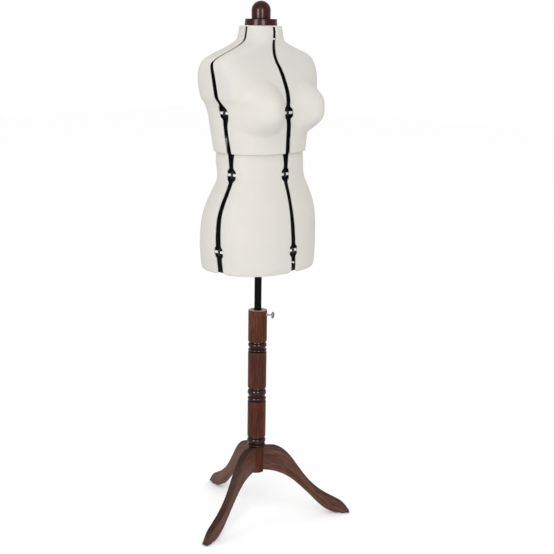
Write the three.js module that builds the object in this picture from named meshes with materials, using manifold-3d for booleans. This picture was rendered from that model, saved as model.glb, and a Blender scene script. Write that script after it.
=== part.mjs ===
// An adjustable dress form: eight fabric-covered shell panels round a steel pole,
// spread by twelve thumbwheels, on a turned post with three cabriole legs.
//
// Millimetres, +Z up, floor at z = 0. The figure faces -Y and its own right is -X.
// The origin lies on the floor under the middle of the whole form.

import * as THREE from 'three';
import { mergeVertices } from 'three/addons/utils/BufferGeometryUtils.js';
import Module from 'manifold-3d';

const wasm = await Module();
wasm.setup();

// ---------------------------------------------------------------- driving dimensions

const AXIS_X = 41;               // the pole stands beside the middle of the footprint
const AXIS_Y = -27;

const GAP = 0.3;                 // clearance between pieces that touch

const POST_TOP = 616;
const POST_BOTTOM = 130;
const POST_RADIUS = 27.1;         // at the top; the lower lengths are a little slimmer
const POST_MIDDLE_RADIUS = 26.8;
const POST_LOWER_RADIUS = 26.6;
const HUB_RADIUS = 24;
const GROOVE_RADIUS = 21;
const POST_BORE_RADIUS = 12.8;
const POST_BORE_FLOOR = 300;

const LEG_ANGLES = [-48, 72, 192];
const LEG_THICKNESS = 22;
const LEG_TOE_THICKNESS = 18;
const LEG_TOP = 208;
const LEG_REACH = 280;
const LEG_ROOT = 20.9;            // the leg's flat end, let into the hub
const LEG_BOLT_Z = 185;
const LEG_DOWEL_Z = 152;
const PAD_RADIUS = 8.5;
const PAD_HEIGHT = 3;
const PAD_REACH = 258;

const CLAMP_Z = 604;
const CLAMP_ANGLE = -70;
const CLAMP_HEAD_REACH = 46.5;

const POLE_RADIUS = 10.3;
const POLE_WALL = 1.5;
const POLE_BOTTOM = 430;
const POLE_TOP = 1370;

const NECK_TOP = 1409;
const FLANGE_TOP = 1426.8;
const FLANGE_RADIUS = 44.7;
const KNOB_TOP = 1475.3;
const KNOB_RADIUS = 26.3;
const CORE_RADIUS = 36;
const FRONT_BAR_Z = 1359;
const SIDE_BAR_Z = 1379;

const SHELL = 4.5;               // panel thickness, cover included
const UPPER_HEM = 1069;
const LOWER_HEM = 741;
const TONGUE_TOP = 1112;         // the lower panels run up inside the upper ones

const BUST_Z = 1179;
const WAIST_Z = 1012;
const HIP_Z = 805;
const NECK_STUD_Z = 1374;
const HEM_STUD_Z = 772;
const SPINDLE_DEPTH = 8;         // spindle axis below the panel surface
const WHEEL_RADIUS = 9;
const WHEEL_HALF = 2.3;
const ROD_RADIUS = 2;
const ROD_REACH = 30;
const NUT_RADIUS = 4.2;
const NUT_BORE = 2.6;
const NUT_START = 2.9;
const NUT_END = 26;
const RIB_WIDTH = 9;
const RIB_COVER = 1.4;           // shell left over the rib that holds a nut
const NOTCH_HALF_WIDTH = 15.5;
const NOTCH_HALF_HEIGHT = 22;

const STRIP_DEPTH = 18;
const STRIP_THICKNESS = 2.5;
const STRIP_HALF_WIDTH = 30;
const LUG_START = 2.7;
const LUG_END = 5;
const LUG_HALF_HEIGHT = 7;
const LUG_DEPTH = 12.9;

// ---------------------------------------------------------------- torso levels
//
// Each level is one horizontal section: height, half width at the side seam, depth to
// the front, depth to the back, how far back the side seam sits, squareness of the
// quarter curves (2 is an ellipse), half the gap at the centre seams, and half the gap
// at the side seams.

const level = (z, halfWidth, front, back, seam, square, gap, sideGap) =>
  ({ z, halfWidth, front, back, seam, square, gap, sideGap });

const UPPER_LEVELS = [
  level(UPPER_HEM, 133, 104.8, 111, -9, 2.2, 9.4, 8),
  level(1092, 137.5, 105.5, 113.3, -8, 2.2, 9.4, 8),
  level(1115, 142, 106.2, 115.2, -7, 2.2, 9.4, 7.8),
  level(1145, 146, 107.5, 117.5, -6, 2.28, 9.4, 7.6),
  level(1172, 148, 104.5, 118.5, -4, 2.4, 9, 7.4),
  level(1190, 150, 103, 119.5, 0, 2.6, 8.9, 7.3),
  level(1204, 158, 104.5, 117, 3, 2.8, 8.8, 7.3),
  level(1217, 168, 104, 113, 5, 3.1, 8.8, 7.3),
  level(1235, 173, 100.5, 110, 5, 3.4, 8.7, 7.3),
  level(1258, 178, 92, 104, 5, 3.8, 8.6, 7.2),
  level(1280, 183, 82, 96, 5, 4, 8.4, 6.8),
  level(1298, 187, 72, 85, 5, 4, 8, 6),
  level(1312, 187, 62, 74, 3, 4, 7.4, 5),
  level(1323, 179, 56, 65, -5, 4, 7, 4.3),
  level(1334, 160, 52, 59, -11, 3.9, 6.8, 4),
  level(1344, 132, 50, 56, -10, 3.6, 6.5, 3.8),
  level(1353, 105, 49, 56, -6, 3.3, 6.3, 3.7),
  level(1362, 82, 49, 57, -2, 2.9, 6.1, 3.6),
  level(1372, 66.5, 50, 55, 0, 2.5, 5.8, 3.5),
  level(1388, 62, 51, 53.5, 0, 2.3, 5.5, 3.5),
  level(NECK_TOP, 59, 48.5, 51.5, 0, 2.2, 5.3, 3.5)
];

const LOWER_LEVELS = [
  level(LOWER_HEM, 156, 125, 136.5, -8, 2.2, 9.2, 9.9),
  level(747, 162.5, 130.5, 143, -8, 2.2, 9.2, 9.9),
  level(762, 165.5, 132.5, 145, -8, 2.2, 9.2, 9.9),
  level(800, 171, 131, 144.5, -8, 2.2, 9.2, 9.9),
  level(835, 174, 130.5, 143, -8, 2.15, 9.1, 9.8),
  level(869, 175.5, 127.5, 138.5, -10, 2.15, 8.8, 9.2),
  level(904, 173, 123, 129.5, -12, 2.15, 8, 8.4),
  level(937, 163, 116, 118, -15, 2.15, 7.4, 8),
  level(966, 149, 108, 107, -17, 2.15, 7.5, 7.6),
  level(992, 136, 99.5, 97, -17, 2.15, 7.9, 7.7),
  level(1015, 130, 97, 98.5, -15, 2.18, 8.6, 8),
  level(1040, 128, 98.8, 105, -11, 2.2, 9.1, 8.5),
  level(1064, 126.2, 97.9, 104.5, -9, 2.12, 12, 11.5),
  level(1076, 126, 97.7, 104.3, -9, 2.1, 16, 15.5),
  level(TONGUE_TOP, 126, 97.7, 104.3, -9, 2.1, 17, 16.5)
];

const LEVEL_KEYS = ['z', 'halfWidth', 'front', 'back', 'seam', 'square', 'gap', 'sideGap'];

// The bust is a rounded mound added to each front panel.
const MOUND = {
  x: 86, z: 1180, radiusX: 74, radiusAbove: 88, radiusBelow: 62, height: 53, splay: 0.2
};

const QUARTERS = [
  { name: 'front_right', sideX: -1, sideY: -1 },
  { name: 'front_left', sideX: 1, sideY: -1 },
  { name: 'back_right', sideX: -1, sideY: 1 },
  { name: 'back_left', sideX: 1, sideY: 1 }
];

// ---------------------------------------------------------------- materials

const material = (color, roughness, metalness) =>
  new THREE.MeshStandardMaterial({ color, roughness, metalness });

const coverFabric = () => material(0xe4e1da, 0.9, 0);
const blackPlastic = () => material(0x141414, 0.5, 0);
const whitePlastic = () => material(0xe9e8e4, 0.4, 0);
const mahogany = () => material(0x5d3226, 0.4, 0);
const brownPlastic = () => material(0x45211d, 0.25, 0);
const blackSteel = () => material(0x17181a, 0.35, 0.3);
const chrome = () => material(0xb9bbbb, 0.2, 1);
const brass = () => material(0xb0904c, 0.35, 1);
const rubber = () => material(0x222222, 0.8, 0);
const zinc = () => material(0x8f9294, 0.4, 1);

// ---------------------------------------------------------------- solids

function toSolid(geometry) {
  const bare = geometry.clone();
  bare.deleteAttribute('normal');
  bare.deleteAttribute('uv');
  const welded = mergeVertices(bare, 1e-4);
  const index = welded.index.array;
  const triangles = [];
  for (let i = 0; i < index.length; i += 3) {
    const [a, b, c] = [index[i], index[i + 1], index[i + 2]];
    if (a !== b && b !== c && c !== a) triangles.push(a, b, c);
  }
  return new wasm.Manifold(new wasm.Mesh({
    numProp: 3,
    vertProperties: Float32Array.from(welded.attributes.position.array),
    triVerts: Uint32Array.from(triangles)
  }));
}

function toGeometry(solid) {
  const mesh = solid.getMesh();
  const geometry = new THREE.BufferGeometry();
  geometry.setAttribute('position', new THREE.BufferAttribute(mesh.vertProperties, 3));
  geometry.setIndex(new THREE.BufferAttribute(mesh.triVerts, 1));
  geometry.computeVertexNormals();
  return geometry;
}

function lathe(profile, segments) {
  const points = profile.map(([radius, z]) => new THREE.Vector2(radius, z));
  return new THREE.LatheGeometry(points, segments).rotateX(Math.PI / 2);
}

function rod(radius, bottom, top, segments) {
  return lathe([[0, bottom], [radius, bottom], [radius, top], [0, top]], segments);
}

function ring(inner, outer, bottom, top, segments) {
  const profile = [[inner, bottom], [outer, bottom], [outer, top], [inner, top]];
  return lathe([...profile, profile[0]], segments);
}

// A box given by its corner values along each axis.
function block([x0, x1], [y0, y1], [z0, z1]) {
  const geometry = new THREE.BoxGeometry(x1 - x0, y1 - y0, z1 - z0);
  return geometry.translate((x0 + x1) / 2, (y0 + y1) / 2, (z0 + z1) / 2);
}

// A closed slab from rows of matching outer and inner points.
function slab(rows, facesOut) {
  const columns = rows[0].length;
  const positions = [];
  const triangles = [];
  for (const row of rows) {
    for (const { outer, inner } of row) {
      positions.push(...outer.toArray(), ...inner.toArray());
    }
  }
  const at = (row, column, side) => 2 * (row * columns + column) + side;
  const quad = (a, b, c, d) => {
    if (facesOut) triangles.push(a, b, c, a, c, d);
    else triangles.push(a, c, b, a, d, c);
  };
  const lastRow = rows.length - 1;
  const lastColumn = columns - 1;
  for (let j = 0; j < lastRow; j++) {
    for (let i = 0; i < lastColumn; i++) {
      quad(at(j, i, 0), at(j, i + 1, 0), at(j + 1, i + 1, 0), at(j + 1, i, 0));
      quad(at(j, i, 1), at(j + 1, i, 1), at(j + 1, i + 1, 1), at(j, i + 1, 1));
    }
    quad(at(j, 0, 0), at(j + 1, 0, 0), at(j + 1, 0, 1), at(j, 0, 1));
    quad(at(j, lastColumn, 0), at(j, lastColumn, 1),
      at(j + 1, lastColumn, 1), at(j + 1, lastColumn, 0));
  }
  for (let i = 0; i < lastColumn; i++) {
    quad(at(0, i, 0), at(0, i, 1), at(0, i + 1, 1), at(0, i + 1, 0));
    quad(at(lastRow, i, 0), at(lastRow, i + 1, 0), at(lastRow, i + 1, 1), at(lastRow, i, 1));
  }
  const geometry = new THREE.BufferGeometry();
  geometry.setAttribute('position', new THREE.Float32BufferAttribute(positions, 3));
  geometry.setIndex(triangles);
  return geometry;
}

// ---------------------------------------------------------------- torso surface

function catmullRom(p0, p1, p2, p3, t) {
  const a = 2 * p1;
  const b = p2 - p0;
  const c = 2 * p0 - 5 * p1 + 4 * p2 - p3;
  const d = 3 * p1 - p0 - 3 * p2 + p3;
  return 0.5 * (a + b * t + c * t * t + d * t * t * t);
}

// The section at row v, where whole numbers are the listed levels.
function sectionAt(levels, v) {
  const last = levels.length - 1;
  const start = Math.min(Math.max(Math.floor(v), 0), last - 1);
  const pick = (index, key) => levels[Math.min(Math.max(index, 0), last)][key];
  const section = {};
  for (const key of LEVEL_KEYS) {
    section[key] = catmullRom(pick(start - 1, key), pick(start, key),
      pick(start + 1, key), pick(start + 2, key), v - start);
  }
  return section;
}

// The value between start and end at which a test that begins true turns false.
function turningPoint(start, end, holds) {
  let [near, far] = [start, end];
  for (let step = 0; step < 40; step++) {
    const middle = (near + far) / 2;
    if (holds(middle)) near = middle;
    else far = middle;
  }
  return near;
}

function rowAtHeight(levels, z) {
  return turningPoint(0, levels.length - 1, (v) => sectionAt(levels, v).z < z);
}

function sectionAtHeight(levels, z) {
  return sectionAt(levels, rowAtHeight(levels, z));
}

function moundHeight(x, z) {
  const radiusZ = z > MOUND.z ? MOUND.radiusAbove : MOUND.radiusBelow;
  const distance = Math.hypot((x - MOUND.x) / MOUND.radiusX, (z - MOUND.z) / radiusZ);
  return distance < 1 ? MOUND.height * (1 - distance * distance) ** 1.35 : 0;
}

// A point of one quarter's outer surface: u runs from the centre seam to the side seam.
function surfacePoint(levels, quarter, u, v) {
  const section = sectionAt(levels, v);
  const angle = u * Math.PI / 2;
  const sine = Math.sin(angle);
  const cosine = Math.cos(angle);
  const scale = (sine ** section.square + cosine ** section.square) ** (-1 / section.square);
  const depth = quarter.sideY < 0 ? section.front : section.back;
  const seamY = section.seam + quarter.sideY * section.sideGap;
  const x = section.gap + (section.halfWidth - section.gap) * sine * scale;
  const y = seamY + (quarter.sideY * depth - seamY) * cosine * scale;
  const mound = quarter.sideY < 0 ? moundHeight(x, section.z) : 0;
  return new THREE.Vector3(
    quarter.sideX * (x + mound * MOUND.splay), y - mound, section.z);
}

function surfaceNormal(levels, quarter, u, v) {
  const step = 0.01;
  const last = levels.length - 1;
  const u0 = Math.max(u - step, 0.0001);
  const u1 = Math.min(u + step, 0.9999);
  const v0 = Math.max(v - step, 0);
  const v1 = Math.min(v + step, last);
  const alongU = surfacePoint(levels, quarter, u1, v)
    .sub(surfacePoint(levels, quarter, u0, v));
  const alongV = surfacePoint(levels, quarter, u, v1)
    .sub(surfacePoint(levels, quarter, u, v0));
  const outward = -quarter.sideX * quarter.sideY;
  return alongU.cross(alongV).normalize().multiplyScalar(outward);
}

// ---------------------------------------------------------------- panels

// Closer together at the seams, where the edges have to fit.
const PANEL_COLUMNS = [0, 0.06, 0.14, 0.26, 0.4, 0.56, 0.72, 0.88, 1];

function panelShell(levels, quarter) {
  const rows = [];
  for (let v = 0; v < levels.length; v++) {
    const row = [];
    for (const u of PANEL_COLUMNS) {
      const outer = surfacePoint(levels, quarter, u, v);
      const normal = surfaceNormal(levels, quarter, u, v);
      row.push({ outer, inner: outer.clone().addScaledVector(normal, -SHELL) });
    }
    rows.push(row);
  }
  return toSolid(slab(rows, quarter.sideX * quarter.sideY < 0));
}

// The notch that lets a thumbwheel stand between two panels, cut from its seam.
function notchCutter(depthFrom, depthTo) {
  const [w, h] = [NOTCH_HALF_WIDTH, NOTCH_HALF_HEIGHT];
  const outline = [
    [-w, -h / 2], [-w / 3, -h], [w / 3, -h], [w, -h / 2],
    [w, h / 2], [w / 3, h], [-w / 3, h], [-w, h / 2]
  ];
  const shape = new THREE.Shape(outline.map(([x, y]) => new THREE.Vector2(x, y)));
  const geometry = new THREE.ExtrudeGeometry(shape,
    { depth: depthTo - depthFrom, bevelEnabled: false });
  return geometry.translate(0, 0, depthFrom);
}

// Where a thumbwheel sits. Its frame has x along the spindle, y up the figure and z
// pointing out of the torso.
function adjusterFrame(levels, place, z) {
  const section = sectionAtHeight(levels, z);
  const frames = {
    front: { origin: [0, -section.front, z], spindle: [1, 0, 0], out: [0, -1, 0] },
    back: { origin: [0, section.back, z], spindle: [-1, 0, 0], out: [0, 1, 0] },
    right: { origin: [-section.halfWidth, section.seam, z], spindle: [0, -1, 0], out: [-1, 0, 0] },
    left: { origin: [section.halfWidth, section.seam, z], spindle: [0, 1, 0], out: [1, 0, 0] }
  };
  const { origin, spindle, out } = frames[place];
  const matrix = new THREE.Matrix4().makeBasis(
    new THREE.Vector3(...spindle), new THREE.Vector3(0, 0, 1), new THREE.Vector3(...out));
  return matrix.setPosition(...origin);
}

// Height of the panel surface in the adjuster's frame, at a distance along the spindle.
function surfaceOver(levels, quarter, place, z, distance) {
  const row = rowAtHeight(levels, z);
  const toFrame = adjusterFrame(levels, place, z).invert();
  const local = (u) => surfacePoint(levels, quarter, u, row).applyMatrix4(toFrame);
  const [seam, far] = place === 'front' || place === 'back' ? [0, 1] : [1, 0];
  return local(turningPoint(seam, far, (u) => Math.abs(local(u).x) < distance)).z;
}

// The nut tube and its rib, on the side of the seam given by direction.
function nutSolid(levels, quarter, place, z) {
  const direction = spindleSide(place, quarter);
  const along = (from, to) => (direction > 0 ? [from, to] : [-to, -from]);
  const tube = rod(NUT_RADIUS, NUT_START, NUT_END, 8).rotateY(direction * Math.PI / 2);
  tube.translate(0, 0, -SPINDLE_DEPTH);
  const [ribStart, ribEnd] = [NOTCH_HALF_WIDTH + 1, NOTCH_HALF_WIDTH + RIB_WIDTH];
  const ribTop = Math.min(surfaceOver(levels, quarter, place, z, ribStart),
    surfaceOver(levels, quarter, place, z, ribEnd)) - RIB_COVER;
  const rib = block(along(ribStart, ribEnd), [-3, 3], [-SPINDLE_DEPTH, ribTop]);
  return toSolid(tube).add(toSolid(rib));
}

function nutBore(direction) {
  const bore = rod(NUT_BORE, 0, ROD_REACH + 1, 6).rotateY(direction * Math.PI / 2);
  return toSolid(bore.translate(0, 0, -SPINDLE_DEPTH));
}

// Which way along a seam's spindle a quarter lies.
function spindleSide(place, quarter) {
  const signs = {
    front: quarter.sideX, back: -quarter.sideX, right: -quarter.sideY, left: quarter.sideY
  };
  return signs[place];
}

function panelGeometry(levels, quarter, adjusterHeights) {
  let panel = panelShell(levels, quarter);
  const places = [quarter.sideY < 0 ? 'front' : 'back', quarter.sideX < 0 ? 'right' : 'left'];
  for (const place of places) {
    for (const z of adjusterHeights) {
      const frame = adjusterFrame(levels, place, z).elements;
      panel = panel
        .subtract(toSolid(notchCutter(-22, 12)).transform(frame))
        .add(nutSolid(levels, quarter, place, z).transform(frame))
        .subtract(nutBore(spindleSide(place, quarter)).transform(frame));
    }
  }
  return toGeometry(panel);
}

// ---------------------------------------------------------------- backing strips

// Depth and half width of a strip along its length: it sits behind the spindles, and
// comes closer to the surface and narrows towards the neck.
function stripLayout(z) {
  const neck = THREE.MathUtils.smoothstep(z, 1322, 1366);
  const shoulder = THREE.MathUtils.smoothstep(z, 1250, 1300);
  const depth = STRIP_DEPTH - 4 * shoulder - 4.5 * neck;
  const halfWidth = STRIP_HALF_WIDTH - 6 * shoulder - 10 * neck;
  return { depth, halfWidth };
}

function seamLine(levels, place, v) {
  const section = sectionAt(levels, v);
  const points = {
    front: [0, -section.front], back: [0, section.back],
    right: [-section.halfWidth, section.seam], left: [section.halfWidth, section.seam]
  };
  return new THREE.Vector3(...points[place], section.z);
}

function stripSlab(levels, place, rowNumbers) {
  const across = place === 'front' || place === 'back'
    ? new THREE.Vector3(1, 0, 0) : new THREE.Vector3(0, 1, 0);
  const keepsX = across.x === 0;
  const rows = rowNumbers.map((v) => {
    const centre = seamLine(levels, place, v);
    const along = seamLine(levels, place, Math.min(v + 0.05, levels.length - 1))
      .sub(seamLine(levels, place, Math.max(v - 0.05, 0)));
    if (keepsX) along.y = 0;
    const normal = along.clone().cross(across).normalize();
    const outward = keepsX ? Math.sign(normal.x * centre.x) : Math.sign(normal.y * centre.y);
    normal.multiplyScalar(outward);
    const { depth, halfWidth } = stripLayout(centre.z);
    return [-halfWidth, halfWidth].map((shift) => {
      const base = centre.clone().addScaledVector(across, shift);
      return {
        outer: base.clone().addScaledVector(normal, -depth),
        inner: base.addScaledVector(normal, -depth - STRIP_THICKNESS)
      };
    });
  });
  return toSolid(slab(rows, place === 'front' || place === 'left'));
}

// Two lugs that stand on the strip beside each thumbwheel and keep it over the seam.
function withLugs(strip, levels, place, heights) {
  let solid = strip;
  for (const z of heights) {
    for (const span of [[LUG_START, LUG_END], [-LUG_END, -LUG_START]]) {
      const lug = block(span, [-LUG_HALF_HEIGHT, LUG_HALF_HEIGHT], [-STRIP_DEPTH - 1, -LUG_DEPTH]);
      solid = solid.add(toSolid(lug).transform(adjusterFrame(levels, place, z).elements));
    }
  }
  return solid;
}

// The bar that slides in the neck core, from the strip in towards the pole.
function guideBar(place) {
  const reach = {
    front: [[-4, 4], [-38.6, -12.3], [FRONT_BAR_Z - 3, FRONT_BAR_Z + 3]],
    back: [[-4, 4], [12.3, 45.4], [FRONT_BAR_Z - 3, FRONT_BAR_Z + 3]],
    right: [[-53.5, -12.3], [-4, 4], [SIDE_BAR_Z - 3, SIDE_BAR_Z + 3]],
    left: [[12.3, 53.5], [-4, 4], [SIDE_BAR_Z - 3, SIDE_BAR_Z + 3]]
  };
  return toSolid(block(...reach[place]));
}

const UPPER_STRIP_FIRST = 2;
const UPPER_STRIP_LAST = UPPER_LEVELS.length - 1.1;
const LOWER_STRIP_TOP = 1150;

function upperStrip(place) {
  const rows = [];
  for (let v = UPPER_STRIP_FIRST; v < UPPER_STRIP_LAST; v++) rows.push(v);
  rows.push(UPPER_STRIP_LAST);
  const strip = stripSlab(UPPER_LEVELS, place, rows).add(guideBar(place));
  return toGeometry(withLugs(strip, UPPER_LEVELS, place, [BUST_Z]));
}

function lowerStrip(place) {
  const [hem, turn, straight, ...rest] = LOWER_LEVELS;
  const levels = [{ ...straight, z: hem.z + 3 }, { ...straight, z: turn.z + 3 }, straight,
    ...rest.slice(0, -1), { ...rest[rest.length - 1], z: LOWER_STRIP_TOP }];
  const rows = levels.map((_, index) => index);
  const strip = stripSlab(levels, place, rows);
  return toGeometry(withLugs(strip, LOWER_LEVELS, place, [WAIST_Z, HIP_Z]));
}

// ---------------------------------------------------------------- thumbwheels

function thumbwheel() {
  const geometry = lathe([
    [0, -ROD_REACH], [ROD_RADIUS, -ROD_REACH], [ROD_RADIUS, -WHEEL_HALF],
    [WHEEL_RADIUS, -WHEEL_HALF], [WHEEL_RADIUS, WHEEL_HALF],
    [ROD_RADIUS, WHEEL_HALF], [ROD_RADIUS, ROD_REACH], [0, ROD_REACH]
  ], 16);
  return geometry.rotateY(Math.PI / 2).translate(0, 0, -SPINDLE_DEPTH);
}

// ---------------------------------------------------------------- stand

// A bead between two grooves, as profile points from its lower to its upper edge.
function bead(bottom, top, radius) {
  const middle = (bottom + top) / 2;
  const half = (top - bottom) / 2;
  const depth = radius - GROOVE_RADIUS;
  return [-0.95, -0.5, 0.5, 0.95].map((t) =>
    [GROOVE_RADIUS + depth * Math.sqrt(1 - t * t), middle + half * t]);
}

function postGeometry() {
  const [upper, middle, lower] = [POST_RADIUS, POST_MIDDLE_RADIUS, POST_LOWER_RADIUS];
  const profile = [
    [0, POST_BOTTOM], [HUB_RADIUS - 3, POST_BOTTOM], [HUB_RADIUS, POST_BOTTOM + 3],
    [HUB_RADIUS, LEG_TOP],
    ...bead(208.8, 215.5, 26.4), ...bead(217, 234.5, 27.1),
    [lower - 1, 237.5], [lower, 240.5], [lower, 344], [lower - 1, 346],
    ...bead(347, 359, 27), ...bead(361.5, 381.5, 27.2),
    [middle - 1, 385], [middle, 388], [middle, 491.5], [middle - 1, 493.5],
    ...bead(494.5, 503, 27), ...bead(505.5, 520.5, 27.1),
    [upper - 1, 523.5], [upper, 526.5], [upper + 0.2, POST_TOP - 2], [upper - 1.5, POST_TOP],
    [POST_BORE_RADIUS, POST_TOP], [POST_BORE_RADIUS, POST_BORE_FLOOR], [0, POST_BORE_FLOOR]
  ];
  let post = toSolid(lathe(profile, 20));
  post = post
    .subtract(clampAligned(rod(4, 11, 18, 12)))
    .subtract(clampAligned(rod(5.3, 17.3, 30, 12)));
  for (const angle of LEG_ANGLES) {
    post = post
      .subtract(legAligned(rod(3.3, 12, 30, 8), angle, LEG_BOLT_Z))
      .subtract(legAligned(rod(4.3, 14, 30, 8), angle, LEG_DOWEL_Z))
      .subtract(toSolid(block([LEG_ROOT - GAP, HUB_RADIUS + 9],
        [-LEG_THICKNESS / 2 - 0.2, LEG_THICKNESS / 2 + 0.2],
        [POST_BOTTOM - 5, LEG_TOP + 0.2]).rotateZ(THREE.MathUtils.degToRad(angle))));
  }
  return toGeometry(post);
}

// Turns a piece made along +Z to lie along a leg, at a height.
function legAligned(geometry, angle, z) {
  geometry.rotateY(Math.PI / 2).rotateZ(THREE.MathUtils.degToRad(angle));
  return toSolid(geometry.translate(0, 0, z));
}

// Turns a piece made along +Z to lie along the clamp screw.
function clampAligned(geometry) {
  geometry.rotateY(Math.PI / 2).rotateZ(THREE.MathUtils.degToRad(CLAMP_ANGLE));
  return toSolid(geometry.translate(0, 0, CLAMP_Z));
}

function legOutline() {
  const foot = PAD_HEIGHT + GAP;
  const shape = new THREE.Shape();
  shape.moveTo(LEG_ROOT, POST_BOTTOM + 6);
  shape.bezierCurveTo(88, POST_BOTTOM + 5, 118, 98, 150, 68);
  shape.bezierCurveTo(178, 42, 200, foot + 5, 240, foot);
  shape.lineTo(LEG_REACH - 2, foot);
  shape.bezierCurveTo(LEG_REACH - 7, 12, 263, 29, 248, 38);
  shape.bezierCurveTo(224, 52, 198, 60, 166, 90);
  shape.bezierCurveTo(120, 134, 100, 200, 48, LEG_TOP);
  shape.lineTo(LEG_ROOT, LEG_TOP);
  return shape;
}

function legGeometry(angle) {
  const bevel = 2;
  const geometry = new THREE.ExtrudeGeometry(legOutline(), {
    depth: LEG_THICKNESS - 2 * bevel, bevelEnabled: true, bevelThickness: bevel,
    bevelSize: bevel, bevelOffset: -bevel, bevelSegments: 1, curveSegments: 7
  });
  geometry.translate(0, 0, bevel - LEG_THICKNESS / 2).rotateX(Math.PI / 2);
  const position = geometry.attributes.position;
  for (let i = 0; i < position.count; i++) {
    const along = THREE.MathUtils.smoothstep(position.getX(i), 60, LEG_REACH);
    const scale = THREE.MathUtils.lerp(1, LEG_TOE_THICKNESS / LEG_THICKNESS, along);
    position.setY(i, position.getY(i) * scale);
  }
  geometry.rotateZ(THREE.MathUtils.degToRad(angle));
  return toGeometry(toSolid(geometry)
    .subtract(legAligned(rod(3.3, 10, 62, 8), angle, LEG_BOLT_Z))
    .subtract(legAligned(rod(4.3, 10, 47, 8), angle, LEG_DOWEL_Z)));
}

function clampScrew() {
  const head = CLAMP_HEAD_REACH;
  const profile = [
    [0, 14.2], [2.5, 14.2], [2.5, head - 3], [8.5, head - 2.6], [9.5, head - 1.6],
    [9.5, head + 0.8], [8.3, head + 1.8], [5, head + 0.9], [0, head + 0.6]
  ];
  return lathe(profile, 20);
}

function postBush() {
  const bush = toSolid(ring(POLE_RADIUS + 0.4, POST_BORE_RADIUS - GAP, 560, POST_TOP - 0.5, 24));
  return toGeometry(bush.subtract(clampAligned(rod(4, 5, 20, 12))));
}

// ---------------------------------------------------------------- neck

function neckCore() {
  const core = toSolid(lathe([
    [POLE_RADIUS + 0.4, 1346], [CORE_RADIUS - 2, 1346], [CORE_RADIUS, 1348], [CORE_RADIUS, 1386],
    [30, 1389], [30, NECK_TOP - 7.3], [5.4, NECK_TOP - 7.3], [5.4, POLE_TOP + 2],
    [POLE_RADIUS + 0.4, POLE_TOP + 2], [POLE_RADIUS + 0.4, 1346]
  ], 24));
  const slots = [
    [[-4.4, 4.4], [-45, -11.8], [FRONT_BAR_Z - 3.4, FRONT_BAR_Z + 3.4]],
    [[-4.4, 4.4], [11.8, 45], [FRONT_BAR_Z - 3.4, FRONT_BAR_Z + 3.4]],
    [[-45, -11.8], [-4.4, 4.4], [SIDE_BAR_Z - 3.4, SIDE_BAR_Z + 3.4]],
    [[11.8, 45], [-4.4, 4.4], [SIDE_BAR_Z - 3.4, SIDE_BAR_Z + 3.4]]
  ];
  return toGeometry(slots.reduce((solid, slot) => solid.subtract(toSolid(block(...slot))), core));
}

function neckPlate() {
  const plate = ring(5.4, 36, NECK_TOP - 7, NECK_TOP - 3, 24);
  const position = plate.attributes.position;
  for (let i = 0; i < position.count; i++) {
    const [x, y] = [position.getX(i), position.getY(i)];
    if (Math.hypot(x, y) > 20) {
      position.setX(i, x * 1.22);
      position.setY(i, y * 0.98);
    }
  }
  return plate;
}

function neckFlange() {
  return ring(5.4, FLANGE_RADIUS, NECK_TOP + GAP, FLANGE_TOP, 32);
}

function neckKnob() {
  const bottom = FLANGE_TOP + GAP;
  const shoulder = KNOB_TOP - KNOB_RADIUS;
  const dome = [75, 60, 45, 30, 15].map((degrees) => {
    const angle = THREE.MathUtils.degToRad(90 - degrees);
    return [KNOB_RADIUS * Math.cos(angle), shoulder + KNOB_RADIUS * Math.sin(angle)];
  });
  return lathe([
    [5.4, bottom], [KNOB_RADIUS, bottom], [KNOB_RADIUS, shoulder], ...dome,
    [0, KNOB_TOP], [0, 1450], [5.4, 1450], [5.4, bottom]
  ], 24);
}

// A peg that stands on a strip in a centre seam, nearly as high as the panels.
function seamStud(place, levels, z) {
  const sideY = place === 'front' ? -1 : 1;
  const section = sectionAtHeight(levels, z);
  const depth = place === 'front' ? section.front : section.back;
  const peg = rod(2.3, depth - stripLayout(z).depth + 0.5, depth - 0.5, 10);
  return peg.rotateX(-sideY * Math.PI / 2).translate(0, 0, z);
}

// ---------------------------------------------------------------- assembly

const form = new THREE.Group();
form.position.set(AXIS_X, AXIS_Y, 0);

function addPiece(name, geometry, surface) {
  const mesh = new THREE.Mesh(geometry, surface);
  mesh.name = name;
  form.add(mesh);
  return mesh;
}

function addStand() {
  addPiece('post', postGeometry(), mahogany());
  LEG_ANGLES.forEach((angle, index) => {
    const turn = THREE.MathUtils.degToRad(angle);
    const number = index + 1;
    addPiece(`leg_${number}`, legGeometry(angle), mahogany());
    addPiece(`leg_bolt_${number}`,
      toGeometry(legAligned(rod(3, 13, 60, 8), angle, LEG_BOLT_Z)), zinc());
    addPiece(`leg_dowel_${number}`,
      toGeometry(legAligned(rod(4, 15, 45, 8), angle, LEG_DOWEL_Z)), mahogany());
    addPiece(`foot_pad_${number}`, rod(PAD_RADIUS, 0, PAD_HEIGHT, 16), rubber())
      .position.set(PAD_REACH * Math.cos(turn), PAD_REACH * Math.sin(turn), 0);
  });
  addPiece('post_bush', postBush(), blackPlastic());
  addPiece('clamp_insert',
    toGeometry(clampAligned(ring(2.8, 5, 17.6, 27, 12))), brass());
  addPiece('clamp_pad', toGeometry(clampAligned(rod(3.6, POLE_RADIUS + GAP, 13.9, 12))), rubber());
  addPiece('clamp_screw', toGeometry(clampAligned(clampScrew())), chrome());
}

function addPole() {
  addPiece('pole', ring(POLE_RADIUS - POLE_WALL, POLE_RADIUS, POLE_BOTTOM, POLE_TOP, 20),
    blackSteel());
  addPiece('pole_plug', rod(POLE_RADIUS - POLE_WALL - GAP, POLE_BOTTOM - 2, POLE_BOTTOM + 16, 12),
    blackPlastic());
}

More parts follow.
